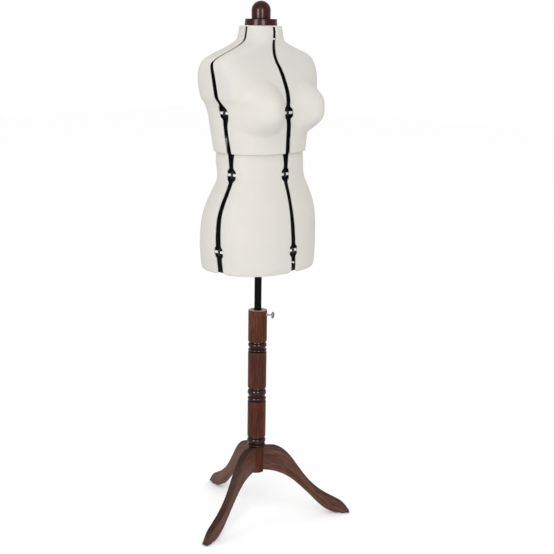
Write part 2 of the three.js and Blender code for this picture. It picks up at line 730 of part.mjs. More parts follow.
function addNeck() {
  addPiece('neck_core', neckCore(), blackPlastic());
  addPiece('neck_plate', neckPlate(), blackPlastic());
  addPiece('neck_flange', neckFlange(), brownPlastic());
  addPiece('neck_knob', neckKnob(), brownPlastic());
  addPiece('knob_bolt', rod(5, POLE_TOP + 4, 1448, 12), zinc());
  for (const place of ['front', 'back']) {
    addPiece(`neck_stud_${place}`, seamStud(place, UPPER_LEVELS, NECK_STUD_Z), whitePlastic());
    addPiece(`hem_stud_${place}`, seamStud(place, LOWER_LEVELS, HEM_STUD_Z), whitePlastic());
  }
}

function addPanels() {
  for (const quarter of QUARTERS) {
    addPiece(`upper_${quarter.name}_panel`,
      panelGeometry(UPPER_LEVELS, quarter, [BUST_Z]), coverFabric());
    addPiece(`lower_${quarter.name}_panel`,
      panelGeometry(LOWER_LEVELS, quarter, [WAIST_Z, HIP_Z]), coverFabric());
  }
}

function addStripsAndWheels() {
  const heights = { bust: BUST_Z, waist: WAIST_Z, hip: HIP_Z };
  for (const place of ['front', 'back', 'right', 'left']) {
    addPiece(`upper_${place}_strip`, upperStrip(place), blackPlastic());
    addPiece(`lower_${place}_strip`, lowerStrip(place), blackPlastic());
    for (const [girth, z] of Object.entries(heights)) {
      const levels = girth === 'bust' ? UPPER_LEVELS : LOWER_LEVELS;
      addPiece(`${girth}_wheel_${place}`,
        thumbwheel().applyMatrix4(adjusterFrame(levels, place, z)), blackPlastic());
    }
  }
}

addStand();
addPole();
addNeck();
addPanels();
addStripsAndWheels();

export default form;
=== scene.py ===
import math

import bpy
import numpy as np
from mathutils import Matrix, Vector


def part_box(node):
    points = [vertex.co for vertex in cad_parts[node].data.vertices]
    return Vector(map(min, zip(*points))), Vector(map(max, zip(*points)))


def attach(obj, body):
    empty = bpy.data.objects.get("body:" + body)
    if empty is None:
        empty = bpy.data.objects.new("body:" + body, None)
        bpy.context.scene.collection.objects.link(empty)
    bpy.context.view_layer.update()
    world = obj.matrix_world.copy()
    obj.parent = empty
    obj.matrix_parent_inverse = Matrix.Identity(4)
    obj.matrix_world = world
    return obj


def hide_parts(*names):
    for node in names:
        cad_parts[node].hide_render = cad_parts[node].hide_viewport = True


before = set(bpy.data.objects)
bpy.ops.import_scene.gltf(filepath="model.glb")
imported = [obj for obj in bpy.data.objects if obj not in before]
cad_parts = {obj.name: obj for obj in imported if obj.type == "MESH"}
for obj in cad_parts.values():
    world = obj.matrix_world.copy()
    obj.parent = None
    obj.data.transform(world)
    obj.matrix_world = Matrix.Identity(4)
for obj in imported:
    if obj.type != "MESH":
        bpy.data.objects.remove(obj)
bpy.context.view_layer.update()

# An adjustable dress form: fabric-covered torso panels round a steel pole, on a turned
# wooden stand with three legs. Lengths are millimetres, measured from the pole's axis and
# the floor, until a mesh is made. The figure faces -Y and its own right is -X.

MM = 0.001


def box_mm(node):
    low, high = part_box(node)
    return np.array(low) / MM, np.array(high) / MM


AXIS = np.array([*sum(box_mm("pole"))[:2] / 2, 0.0])


def centre_of(node):
    return sum(box_mm(node)) / 2 - AXIS


def heights_of(node):
    low, high = box_mm(node)
    return low[2], high[2]


POST_BOTTOM, POST_TOP = heights_of("post")
POLE_BOTTOM, POLE_TOP = heights_of("pole")
KNOB_TOP = heights_of("neck_knob")[1]
FLANGE_BOTTOM, FLANGE_TOP = heights_of("neck_flange")
LEG_TOP = heights_of("leg_1")[1]
LEG_NUMBERS, LEG_ANGLES = (1, 2, 3), (-48, 72, 192)
LEG_ROOT, LEG_REACH = 20.9, 280
LEG_THICKNESS, TOE_THICKNESS = 22, 18
LEG_FOOT = 3.3
HUB_RADIUS = 24
GROOVE_RADIUS = 21
POST_RADIUS, POST_MIDDLE_RADIUS, POST_LOWER_RADIUS = 27.1, 26.8, 26.6
BORE_RADIUS, BORE_FLOOR = 12.8, 300
BUSH_RADIUS, BUSH_BOTTOM = 12.5, 560
POLE_RADIUS, POLE_WALL = 10.3, 1.5
POLE_CLEARANCE = 0.4
CLAMP_ANGLE = math.radians(-70)
CLAMP_Z = centre_of("clamp_pad")[2]
CLAMP_HEAD_REACH = 46.5
FLANGE_RADIUS, KNOB_RADIUS = 44.7, 26.3
BOLT_HOLE_RADIUS = 5.4

# ---- torso levels
#
# Height, half width at the side seam, depth to the front, depth to the back, how far back
# the side seam sits, squareness of the quarter curves, half the gap at the centre seams,
# half the gap at the side seams.

UPPER_LEVELS = np.array([
    (1069, 133, 104.8, 111, -9, 2.2, 9.4, 8),
    (1092, 137.5, 105.5, 113.3, -8, 2.2, 9.4, 8),
    (1115, 142, 106.2, 115.2, -7, 2.2, 9.4, 7.8),
    (1145, 146, 107.5, 117.5, -6, 2.28, 9.4, 7.6),
    (1172, 148, 104.5, 118.5, -4, 2.4, 9, 7.4),
    (1190, 150, 103, 119.5, 0, 2.6, 8.9, 7.3),
    (1204, 158, 104.5, 117, 3, 2.8, 8.8, 7.3),
    (1217, 168, 104, 113, 5, 3.1, 8.8, 7.3),
    (1235, 173, 100.5, 110, 5, 3.4, 8.7, 7.3),
    (1258, 178, 92, 104, 5, 3.8, 8.6, 7.2),
    (1280, 183, 82, 96, 5, 4, 8.4, 6.8),
    (1298, 187, 72, 85, 5, 4, 8, 6),
    (1312, 187, 62, 74, 3, 4, 7.4, 5),
    (1323, 179, 56, 65, -5, 4, 7, 4.3),
    (1334, 160, 52, 59, -11, 3.9, 6.8, 4),
    (1344, 132, 50, 56, -10, 3.6, 6.5, 3.8),
    (1353, 105, 49, 56, -6, 3.3, 6.3, 3.7),
    (1362, 82, 49, 57, -2, 2.9, 6.1, 3.6),
    (1372, 66.5, 50, 55, 0, 2.5, 5.8, 3.5),
    (1388, 62, 51, 53.5, 0, 2.3, 5.5, 3.5),
    (1409, 59, 48.5, 51.5, 0, 2.2, 5.3, 3.5),
], float)

LOWER_LEVELS = np.array([
    (741, 156, 125, 136.5, -8, 2.2, 9.2, 9.9),
    (747, 162.5, 130.5, 143, -8, 2.2, 9.2, 9.9),
    (762, 165.5, 132.5, 145, -8, 2.2, 9.2, 9.9),
    (800, 171, 131, 144.5, -8, 2.2, 9.2, 9.9),
    (835, 174, 130.5, 143, -8, 2.15, 9.1, 9.8),
    (869, 175.5, 127.5, 138.5, -10, 2.15, 8.8, 9.2),
    (904, 173, 123, 129.5, -12, 2.15, 8, 8.4),
    (937, 163, 116, 118, -15, 2.15, 7.4, 8),
    (966, 149, 108, 107, -17, 2.15, 7.5, 7.6),
    (992, 136, 99.5, 97, -17, 2.15, 7.9, 7.7),
    (1015, 130, 97, 98.5, -15, 2.18, 8.6, 8),
    (1040, 128, 98.8, 105, -11, 2.2, 9.1, 8.5),
    (1064, 126.2, 97.9, 104.5, -9, 2.12, 12, 11.5),
    (1076, 126, 97.7, 104.3, -9, 2.1, 16, 15.5),
    (1112, 126, 97.7, 104.3, -9, 2.1, 17, 16.5),
], float)

BUST_X, BUST_Z, BUST_RADIUS, BUST_ABOVE, BUST_BELOW = 86, 1180, 74, 88, 62
BUST_HEIGHT, BUST_SPLAY = 53, 0.2          # how far it stands out, and leans aside

SHELL = 4.5
RIM = 2.2
HEM_CORNER = 9
PANEL_SPACING, PANEL_COLUMNS = 5.5, 46
SAMPLES = 500                    # points tried across a quarter to find a panel's edges
LEVEL_SAMPLES, SEAM_SAMPLES = 3000, 2000
HEM_ROWS = (0.4, 1.2, 2.4, 4.0)
FINE_REACH, FINE_SPACING = 30, 1.7         # closer rows beside a thumbwheel
ROW_STEP, ACROSS_STEP, SEAM_STEP = 0.02, 0.004, 0.05
SPINDLE_DEPTH, STRIP_DEPTH = 8, 18
STRIP_THICKNESS, STRIP_RIM, STRIP_SPACING, STRIP_COLUMNS = 2.5, 0.8, 6, 13
STRIP_SHOULDER, STRIP_NECK = (1250, 1300), (1322, 1366)     # heights where a strip narrows
LOWER_STRIP_TOP = 1150
NOTCH_HALF_WIDTH, NOTCH_HALF_HEIGHT = 15.5, 22
WHEEL_RADIUS, WHEEL_HALF = 9, 2.3
ROD_REACH = 30
NUT_RADIUS, NUT_BORE, NUT_START, NUT_END = 4.2, 2.6, 2.9, 26
ROD_RADIUS, ROD_LEAD, ROD_STARTS = 2.0, 6.0, 3
LUG_START, LUG_END, LUG_HALF_HEIGHT, LUG_DEPTH = 2.7, 5.0, 7, 12.9
GUIDE_START = 12.3
GUIDE_REACH = {"front": 38.6, "back": 45.4, "right": 53.5, "left": 53.5}
GUIDE_Z = {"front": 1359, "back": 1359, "right": 1379, "left": 1379}
GUIDE_HALF_WIDTH, GUIDE_HALF_HEIGHT = 4, 3

GIRTHS = ("bust", "waist", "hip")
PLACES = ("front", "back", "right", "left")
QUARTERS = {
    "front_right": (-1, -1), "front_left": (1, -1), "back_right": (-1, 1), "back_left": (1, 1),
}
OUTWARD = {"front": (0, -1, 0), "back": (0, 1, 0), "right": (-1, 0, 0), "left": (1, 0, 0)}


# ---- materials

def set_inputs(made, **values):
    for name, value in values.items():
        made.inputs[name.replace("_", " ")].default_value = value


def node(tree, kind, **inputs):
    made = tree.nodes.new("ShaderNode" + kind)
    set_inputs(made, **inputs)
    return made


def plain_material(name, colour, roughness, **shader_values):
    material = bpy.data.materials.new(name)
    material.use_nodes = True
    tree = material.node_tree
    shader = tree.nodes["Principled BSDF"]
    set_inputs(shader, Base_Color=(*colour, 1), Roughness=roughness, **shader_values)
    return material, tree, shader


def feed(tree, sockets, values):
    """Sets sockets to numbers and colours, or links them to other sockets."""
    for socket, value in zip(sockets, values):
        if isinstance(value, tuple):
            socket.default_value = (*value, 1)
        elif isinstance(value, (int, float)):
            socket.default_value = value
        else:
            tree.links.new(value, socket)


def maths(tree, operation, *values):
    made = node(tree, "Math")
    made.operation = operation
    feed(tree, made.inputs, values)
    return made.outputs[0]


def ramp(tree, factor, stops):
    made = node(tree, "ValToRGB")
    elements = made.color_ramp.elements
    while len(elements) < len(stops):
        elements.new(0.5)
    for element, (position, colour) in zip(elements, stops):
        element.position = position
        element.color = (*colour, 1)
    tree.links.new(factor, made.inputs["Fac"])
    return made.outputs["Color"]


def grey_ramp(tree, factor, low, high, dark=0.0, light=1.0):
    return ramp(tree, factor, [(low, (dark,) * 3), (high, (light,) * 3)])


def noise(tree, vector, scale, detail=3.0, roughness=0.5, distortion=0.0):
    made = node(tree, "TexNoise", Scale=scale, Detail=detail, Roughness=roughness,
                Distortion=distortion)
    tree.links.new(vector, made.inputs["Vector"])
    return made.outputs["Fac"]


def stretched(tree, vector, scale):
    made = node(tree, "Mapping", Scale=scale)
    tree.links.new(vector, made.inputs["Vector"])
    return made.outputs["Vector"]


def point_attribute(tree, name):
    made = node(tree, "Attribute")
    made.attribute_name = name
    return made.outputs["Vector"]


def separated(tree, name):
    """The three outputs of a point attribute's values."""
    made = node(tree, "SeparateXYZ")
    tree.links.new(point_attribute(tree, name), made.inputs[0])
    return made.outputs


def place_coordinates(tree):
    return node(tree, "TexCoord").outputs["Object"]


def mixed(tree, factor, a, b, blend="MIX"):
    made = node(tree, "Mix")
    made.data_type = "RGBA"
    made.blend_type = blend
    feed(tree, [made.inputs[i] for i in (0, 6, 7)], (factor, a, b))
    return made.outputs[2]


def bumped(tree, shader, height, strength, distance_mm):
    made = node(tree, "Bump", Strength=strength, Distance=distance_mm * MM)
    tree.links.new(height, made.inputs["Height"])
    existing = shader.inputs["Normal"].links
    if existing:
        tree.links.new(existing[0].from_socket, made.inputs["Normal"])
    tree.links.new(made.outputs["Normal"], shader.inputs["Normal"])


def tint_with(tree, shader, *colours):
    """A base colour made of colours and patterns multiplied together."""
    result = colours[0]
    for colour in colours[1:]:
        result = mixed(tree, 1.0, result, colour, "MULTIPLY")
    tree.links.new(result, shader.inputs["Base Color"])


def uneven_gloss(tree, shader, pattern, amount, lowest):
    """Roughness that follows a pattern."""
    gloss = maths(tree, "MULTIPLY_ADD", pattern, amount, lowest)
    tree.links.new(gloss, shader.inputs["Roughness"])


def cover_fabric():
    """A fine off-white jersey: columns of V-shaped stitches about a millimetre wide."""
    warm_white = (0.572, 0.555, 0.515)
    half_wale, half_course = 0.6 * MM, 0.5 * MM
    material, tree, shader = plain_material(
        "cover_fabric", warm_white, 0.9, Sheen_Weight=0.05, Sheen_Roughness=0.45,
        Specular_IOR_Level=0.1)

    def folded(value, half):
        return maths(tree, "DIVIDE", maths(tree, "PINGPONG", value, half), half)

    knit = separated(tree, "knit")
    wale = folded(knit["X"], half_wale)
    slanted = maths(tree, "ADD", knit["Y"], maths(tree, "MULTIPLY", wale, half_course))
    course = folded(slanted, half_course)
    stitch = maths(tree, "MULTIPLY", maths(tree, "POWER", wale, 0.5),
                   maths(tree, "POWER", course, 0.7))
    bumped(tree, shader, stitch, 0.35, 0.25)
    places = place_coordinates(tree)
    bumped(tree, shader, noise(tree, places, 55, 3), 0.25, 0.5)
    tint = ramp(tree, noise(tree, places, 5.5, 3, 0.55), [
        (0.35, (0.555, 0.545, 0.515)), (0.5, warm_white), (0.68, (0.585, 0.56, 0.51))])
    fibre = grey_ramp(tree, noise(tree, stretched(tree, places, (1, 1, 0.35)), 900, 2),
                      0.3, 0.7, 0.95, 1.0)
    # Painted shade in the pits between the stitches.
    pits = grey_ramp(tree, stitch, 0.0, 0.5, 0.93, 1.0)
    tint_with(tree, shader, tint, fibre, pits)
    return material


def shell_plastic():
    """The moulded inner side of a panel."""
    off_white = (0.62, 0.61, 0.58)
    material, tree, shader = plain_material(
        "shell_plastic", off_white, 0.5, Specular_IOR_Level=0.4)
    places = place_coordinates(tree)
    bumped(tree, shader, noise(tree, places, 260, 3), 0.3, 0.3)
    tint = grey_ramp(tree, noise(tree, places, 14, 3), 0.3, 0.7, 0.9, 1.0)
    tint_with(tree, shader, off_white, tint)
    return material


def wood(name, dark, middle, light, roughness, gloss_level, relief=1.0):
    """Stained mahogany: streaks and short pores along the grain, under lacquer."""
    material, tree, shader = plain_material(
        name, middle, roughness, Specular_IOR_Level=gloss_level)
    grain = point_attribute(tree, "grain")
    streaks = noise(tree, stretched(tree, grain, (1, 1, 0.07)), 260, 6, 0.65, 0.3)
    figure = noise(tree, stretched(tree, grain, (1, 1, 0.1)), 24, 3, 0.5, 0.8)
    both = maths(tree, "ADD", maths(tree, "MULTIPLY", streaks, 0.72),
                 maths(tree, "MULTIPLY", figure, 0.28))
    colour = ramp(tree, both, [(0.38, dark), (0.5, middle), (0.63, light)])
    pores = noise(tree, stretched(tree, grain, (1, 1, 0.045)), 900, 2, 0.6)
    pore_shade = grey_ramp(tree, pores, 0.36, 0.48, 0.35, 1.0)
    # Edge darkening: painted shade at the post's grooves and leg undersides, stain on the legs'
    # tops.
    stain_and_painted_shade = grey_ramp(tree, separated(tree, "edge")["X"], 0.0, 1.0, 1.0, 0.42)
    tint_with(tree, shader, colour, pore_shade, stain_and_painted_shade)
    uneven_gloss(tree, shader, streaks, 0.22, roughness - 0.1)
    bumped(tree, shader, pore_shade, 0.22 * relief, 0.12)
    bumped(tree, shader, streaks, 0.15 * relief, 0.2)
    return material


def moulded(name, colour, roughness, grain_mm=0.8, strength=0.15, **shader_values):
    """Plastic, paint or rubber with a fine surface texture and slightly uneven gloss."""
    material, tree, shader = plain_material(name, colour, roughness, **shader_values)
    places = place_coordinates(tree)
    bumped(tree, shader, noise(tree, places, 1000 / grain_mm / 2, 2), strength, 0.1)
    uneven = noise(tree, places, 30, 4)
    tint = grey_ramp(tree, uneven, 0.3, 0.7, 0.82, 1.0)
    tint_with(tree, shader, colour, tint)
    uneven_gloss(tree, shader, uneven, 0.16, roughness - 0.08)
    return material


def turned_metal(name, colour, roughness):
    """Plated or turned metal with fine marks round and across it."""
    material, tree, shader = plain_material(name, colour, roughness, Metallic=1.0)
    places = place_coordinates(tree)
    marks = noise(tree, stretched(tree, places, (1, 1, 9)), 420, 3, 0.6)
    bumped(tree, shader, marks, 0.12, 0.05)
    stain = noise(tree, places, 120, 4)
    tint = grey_ramp(tree, stain, 0.3, 0.7, 0.86, 1.0)
    tint_with(tree, shader, colour, tint)
    uneven_gloss(tree, shader, stain, 0.2, roughness - 0.1)
    return material


FABRIC = cover_fabric()
SHELL_PLASTIC = shell_plastic()
POST_WOOD = wood("post_wood", (0.048, 0.013, 0.006), (0.089, 0.024, 0.011),
                 (0.131, 0.038, 0.018), 0.38, 0.09)
LEG_WOOD = wood("leg_wood", (0.055, 0.022, 0.015), (0.100, 0.042, 0.029),
                (0.145, 0.064, 0.045), 0.42, 0.1)
BEAD_WOOD = wood("bead_wood", (0.016, 0.0035, 0.0025), (0.030, 0.007, 0.005),
                 (0.045, 0.012, 0.009), 0.12, 0.17, 0.25)
# The post's top end is coloured far lighter than its stained sides: a painted highlight along the
# top rim.
END_WOOD_PAINTED_HIGHLIGHT = wood("end_wood_painted_highlight", (0.52, 0.32, 0.26), (0.62, 0.41, 0.34),
                (0.70, 0.50, 0.42), 0.5, 0.1)
BLACK_PLASTIC = moulded("black_plastic", (0.008, 0.008, 0.009), 0.4, Specular_IOR_Level=0.22)
DARK_PLASTIC = moulded("dark_plastic", (0.016, 0.016, 0.018), 0.42, Specular_IOR_Level=0.3)
WHITE_PLASTIC = moulded("white_plastic", (0.84, 0.83, 0.80), 0.32, 1.2, 0.1)
BROWN_PLASTIC = moulded("brown_plastic", (0.036, 0.0056, 0.0038), 0.25, 6, 0.015,
                        Specular_IOR_Level=0.13)
BLACK_STEEL = moulded("black_steel", (0.0030, 0.0027, 0.0030), 0.24, 1.5, 0.08,
                      Specular_IOR_Level=0.05)
RUBBER = moulded("rubber", (0.020, 0.020, 0.020), 0.75, 0.6, 0.3)
CHROME = turned_metal("chrome", (0.15, 0.155, 0.155), 0.3)
ZINC = turned_metal("zinc", (0.5, 0.5, 0.51), 0.4)


# ---- mesh making

def new_object(name, data):
    made = bpy.data.objects.new(name, data)
    bpy.context.scene.collection.objects.link(made)
    return made


def make_piece(name, points, faces, materials, body=None, cad_nodes=(),
               face_slots=None, sharp_degrees=40):
    """A mesh object riding on a body, in place of its CAD nodes. Points are from the axis."""
    mesh = bpy.data.meshes.new(name)
    mesh.from_pydata(((np.asarray(points, float) + AXIS) * MM).tolist(), [], faces)
    piece = new_object(name, mesh)
    for material in materials:
        mesh.materials.append(material)
    if face_slots is not None:
        mesh.polygons.foreach_set("material_index", face_slots)
    finish_shading(mesh, sharp_degrees)
    if body:
        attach(piece, body)
        if cad_nodes:
            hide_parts(*cad_nodes)
    return piece


def finish_shading(mesh, sharp_degrees):
    mesh.polygons.foreach_set("use_smooth", [True] * len(mesh.polygons))
    mesh.set_sharp_from_angle(angle=math.radians(sharp_degrees))
    mesh.update()


def set_attribute(piece, name, values):
    attribute = piece.data.attributes.new(name, "FLOAT_VECTOR", "POINT")
    attribute.data.foreach_set("vector", np.asarray(values, np.float32).ravel())


def combine(piece, operation, solid, turn=None):
    """Joins a closed solid to a piece or cuts it away."""
    points, faces = solid
    tool = make_piece("tool", placed(points, turn), faces, list(piece.data.materials)[:1])
    modifier = piece.modifiers.new("combine", "BOOLEAN")
    modifier.object = tool
    modifier.operation = operation
    modifier.solver = "EXACT"
    evaluated = piece.evaluated_get(bpy.context.evaluated_depsgraph_get())
    result = bpy.data.meshes.new_from_object(evaluated)
    piece.modifiers.clear()
    spent = [piece.data, tool.data]
    piece.data = result
    bpy.data.objects.remove(tool)
    for mesh in spent:
        bpy.data.meshes.remove(mesh)
    result.name = piece.name
    finish_shading(result, 40)


def lathe(profile, segments, closed=False):
    """Points and faces of a turned solid. Profile points are (radius, height), going up
    the outside; a closed profile makes a ring."""
    points, faces, rings = [], [], []
    turns = np.arange(segments) * 2 * math.pi / segments
    for radius, height in profile:
        first = len(points)
        if radius < 1e-6:
            rings.append([first] * segments)
            points.append((0, 0, height))
        else:
            rings.append(range(first, first + segments))
            points += [(radius * math.cos(a), radius * math.sin(a), height) for a in turns]
    for lower, upper in zip(rings, rings[1:] + rings[:closed]):
        for i in range(segments):
            j = (i + 1) % segments
            corners = tuple(dict.fromkeys((lower[i], lower[j], upper[j], upper[i])))
            if len(corners) > 2:
                faces.append(corners)
    return np.array(points, float), faces


def filleted(corners, steps=4, closed=False):
    """Corner points (x, y, radius), with each corner turned into a short curve."""
    made = []
    count = len(corners)
    for index, corner in enumerate(corners):
        here = np.array(corner[:2], float)
        radius = corner[2] if len(corner) > 2 else 0
        if radius == 0 or (not closed and index in (0, count - 1)):
            made.append(tuple(here))
            continue
        before = np.array(corners[index - 1][:2]) - here
        after = np.array(corners[(index + 1) % count][:2]) - here
        start = here + before / np.linalg.norm(before) * min(radius, np.linalg.norm(before) / 2)
        end = here + after / np.linalg.norm(after) * min(radius, np.linalg.norm(after) / 2)
        for t in np.linspace(0, 1, steps + 1):
            made.append(tuple((1 - t) ** 2 * start + 2 * t * (1 - t) * here + t * t * end))
    return made


def turned(name, corners, segments, material, body, cad_nodes, closed=False, turn=None):
    """A turned piece from filleted corners, set in place by a matrix."""
    points, faces = lathe(filleted(corners, closed=closed), segments, closed)
    return make_piece(name, placed(points, turn), faces, [material], body, cad_nodes)


def placed(points, turn):
    if turn is None:
        return points
    matrix = np.array(turn)
    return np.asarray(points) @ matrix[:3, :3].T + matrix[:3, 3]


def knurled(points, teeth, start, width, depth, power=1.0):
    """Turned points with teeth cut into them beyond a starting radius."""
    radius = np.hypot(points[:, 0], points[:, 1])
    angle = np.arctan2(points[:, 1], points[:, 0])
    rim = np.clip((radius - start) / width, 0, 1)
    tooth = (0.5 - 0.5 * np.cos(teeth * angle)) ** power
    return points * np.stack([1 - depth * rim * tooth] * 2 + [0 * rim + 1], -1)


def frame_matrix(direction, up, origin):
    """Turns a piece made along +Z to lie along a direction, with +Y towards up."""
    z = Vector(direction).normalized()
    x = Vector(up).cross(z).normalized()
    y = z.cross(x)
    matrix = Matrix((x, y, z)).transposed().to_4x4()
    matrix.translation = Vector(origin)
    return matrix


def block(low, high):
    (x0, y0, z0), (x1, y1, z1) = low, high
    points = [(x, y, z) for z in (z0, z1) for y in (y0, y1) for x in (x0, x1)]
    faces = [(0, 2, 3, 1), (4, 5, 7, 6), (0, 1, 5, 4), (2, 6, 7, 3), (0, 4, 6, 2), (1, 3, 7, 5)]
    return np.array(points, float), faces


def threaded_rod(start, end, radius, lead, starts, segments=16, depth=0.35):
    """A threaded rod along +Z; a negative lead makes a left-hand thread."""
    heights = np.arange(start, end + 0.01, 0.5)
    turns = np.arange(segments) * 2 * math.pi / segments
    a, h = np.meshgrid(turns, heights)
    fade = np.clip((heights[-1] - h) / 1.5, 0, 1)
    wave = 0.5 + 0.5 * np.cos(starts * (a - 2 * math.pi * h / lead))
    r = (radius - depth * wave) * (0.8 + 0.2 * fade)
    points = np.stack([r * np.cos(a), r * np.sin(a), h], -1).reshape(-1, 3)
    return points, closed_tube(len(heights), segments)


def closed_tube(rows, columns, flipped=False):
    """Faces of a tube made of rings of points, with its two ends."""
    faces = []
    for k in range(rows - 1):
        for i in range(columns):
            a, b = k * columns + i, k * columns + (i + 1) % columns
            if flipped:
                a, b = b, a
            faces.append((a, b, b + columns, a + columns))
    first, last = range(columns), range((rows - 1) * columns, rows * columns)
    if flipped:
        return faces + [tuple(first), tuple(reversed(last))]
    return faces + [tuple(reversed(first)), tuple(last)]


def eased(t):
    return t * t * (3 - 2 * t)


def distance_along(line):
    return np.concatenate([[0], np.cumsum(np.linalg.norm(np.diff(line, axis=0), axis=1))])


def joined(*solids):
    points, faces = [], []
    for solid_points, solid_faces in solids:
        faces += [tuple(i + len(points) for i in face) for face in solid_faces]
        points += list(solid_points)
    return np.array(points, float), faces


# ---- torso surface

def section_at(levels, rows):
    """The sections at row numbers, where whole numbers are the listed levels."""
    last = len(levels) - 1
    start = np.clip(np.floor(rows).astype(int), 0, last - 1)
    t = (rows - start)[:, None]
    p0, p1, p2, p3 = (levels[np.clip(start + k, 0, last)] for k in (-1, 0, 1, 2))
    return 0.5 * (2 * p1 + (p2 - p0) * t + (2 * p0 - 5 * p1 + 4 * p2 - p3) * t ** 2
                  + (3 * p1 - p0 - 3 * p2 + p3) * t ** 3)


def quarter_surface(levels, quarter, rows, across):
    """Points of a quarter's outer surface, the height of the bust on it, and the seam's y.
    Across is one row of values for each row, from the centre seam 0 to the side seam 1."""
    side_x, side_y = QUARTERS[quarter]
    sections = section_at(levels, rows)
    z, half_width, front, back, seam, square, gap, side_gap = sections.T[:, :, None]
    sine, cosine = np.sin(across * math.pi / 2), np.cos(across * math.pi / 2)
    scale = (sine ** square + np.abs(cosine) ** square) ** (-1 / square)
    depth = front if side_y < 0 else back
    seam_y = seam + side_y * side_gap
    x = gap + (half_width - gap) * sine * scale
    y = seam_y + (side_y * depth - seam_y) * cosine * scale
    bust = np.zeros_like(x)
    if side_y < 0:
        height = np.where(z > BUST_Z, BUST_ABOVE, BUST_BELOW)
        distance = np.hypot((x - BUST_X) / BUST_RADIUS, (z - BUST_Z) / height)
        bust = BUST_HEIGHT * np.clip(1 - distance ** 2, 0, None) ** 1.35
    points = np.stack([side_x * (x + bust * BUST_SPLAY), y - bust, z + 0 * x], -1)
    return points, bust, seam


def quarter_normals(levels, quarter, rows, across):
    side_x, side_y = QUARTERS[quarter]

    def change(row_step, across_step):
        after, before = (quarter_surface(
            levels, quarter, np.clip(rows + row_step * way, 0, len(levels) - 1),
            np.clip(across + across_step * way, 0, 1))[0] for way in (1, -1))
        return after - before

    normals = np.cross(change(0, ACROSS_STEP), change(ROW_STEP, 0)) * -side_x * side_y
    return normals / np.linalg.norm(normals, axis=-1, keepdims=True)


def row_numbers(levels, spacing, fine_heights):
    """Row numbers about a spacing apart along the surface, closer at the hem and near given
    heights, and their distance up the surface."""
    dense = np.linspace(0, len(levels) - 1, LEVEL_SAMPLES)
    sections = section_at(levels, dense)
    steps = np.diff(sections[:, :4], axis=0)
    climb = np.hypot(steps[:, 0], np.abs(steps[:, 1:]).max(axis=1))
    distance = np.concatenate([[0], np.cumsum(climb)])
    z = sections[:, 0]
    low, high = np.interp([z[0] + RIM, z[-1] - RIM], z, distance)
    wanted = np.linspace(low, high, int((high - low) / spacing) + 1)
    wanted = np.sort(np.append(wanted, low + np.array(HEM_ROWS)))
    for height in fine_heights:
        offsets = np.arange(-FINE_REACH, FINE_REACH + 0.1, FINE_SPACING)
        around = np.interp(height + offsets, z, distance)
        around = around[(around > low + 1) & (around < high - 1)]
        clear = (wanted < around[0] - spacing / 3) | (wanted > around[-1] + spacing / 3)
        wanted = np.sort(np.concatenate([wanted[clear], around]))
    return np.interp(wanted, distance, dense), wanted


def notch_half_width(z, heights):
    """Half width of the notches for the thumbwheels, at heights up a seam."""
    width = np.zeros_like(z)
    for height in heights:
        rise = np.abs(z - height)
        slope = (NOTCH_HALF_WIDTH * 2 / 3) / (NOTCH_HALF_HEIGHT / 2)
        taper = NOTCH_HALF_WIDTH - np.clip(rise - NOTCH_HALF_HEIGHT / 2, 0, None) * slope
        width = np.maximum(width, np.where(rise < NOTCH_HALF_HEIGHT, taper, 0))
    return width


def hem_corner(z, levels):
    """How far a lower panel's edge is rounded away near its hem."""
    if levels is not LOWER_LEVELS:
        return np.zeros_like(z)
    near = np.clip(1 - (z - levels[0, 0] - RIM) / HEM_CORNER, 0, 1)
    return HEM_CORNER * (1 - np.sqrt(1 - near ** 2))


def panel_grid(levels, quarter, adjuster_heights):
    """The outer surface of one panel inside its rim: points, normals, and how far each
    point is across and up the fabric."""
    rows, climb = row_numbers(levels, PANEL_SPACING, adjuster_heights)
    dense = np.linspace(0, 1, SAMPLES)
    across = np.tile(dense, (len(rows), 1))
    points, bust, seam = quarter_surface(levels, quarter, rows, across)
    z, gap, side_gap = section_at(levels, rows)[:, [0, 6, 7]].T
    notch = notch_half_width(z, adjuster_heights)
    corner = hem_corner(z, levels)
    gap, side_gap = gap + corner, side_gap + corner
    start, end = np.zeros(len(rows)), np.ones(len(rows))
    for r in range(len(rows)):
        from_centre = np.abs(points[r, :, 0])
        start[r] = np.interp(max(gap[r], notch[r]) + RIM, from_centre, dense)
        from_side = np.abs(points[r, :, 1] - seam[r])
        from_side_bare = np.abs(points[r, :, 1] + bust[r] - seam[r])
        clear = (from_side >= notch[r] + RIM) & (from_side_bare >= side_gap[r] + RIM)
        last = np.flatnonzero(clear)[-1]
        low = min(from_side[last] - notch[r] - RIM, from_side_bare[last] - side_gap[r] - RIM)
        step = max(from_side[last] - from_side[min(last + 1, SAMPLES - 1)], 1e-6)
        end[r] = dense[last] + (dense[1] - dense[0]) * min(low / step, 1)
    arc = np.array([distance_along(line) for line in points])
    share = np.linspace(0, 1, PANEL_COLUMNS)
    share = 0.8 * share + 0.2 * eased(share)
    reach = np.zeros((len(rows), PANEL_COLUMNS))
    place = np.zeros_like(reach)
    for r in range(len(rows)):
        first, final = np.interp([start[r], end[r]], dense, arc[r])
        reach[r] = first + (final - first) * share
        place[r] = np.interp(reach[r], arc[r], dense)
    outer, _, _ = quarter_surface(levels, quarter, rows, place)
    normals = quarter_normals(levels, quarter, rows, place)
    fabric = np.stack([reach, climb[:, None] + 0 * reach, 0 * reach], -1)
    return outer, normals, fabric


def border(rows, columns):
    """The places round a grid's edge, in order."""
    return ([(0, c) for c in range(columns)] + [(r, columns - 1) for r in range(1, rows)]
            + [(rows - 1, c) for c in range(columns - 2, -1, -1)]
            + [(r, 0) for r in range(rows - 2, 0, -1)])


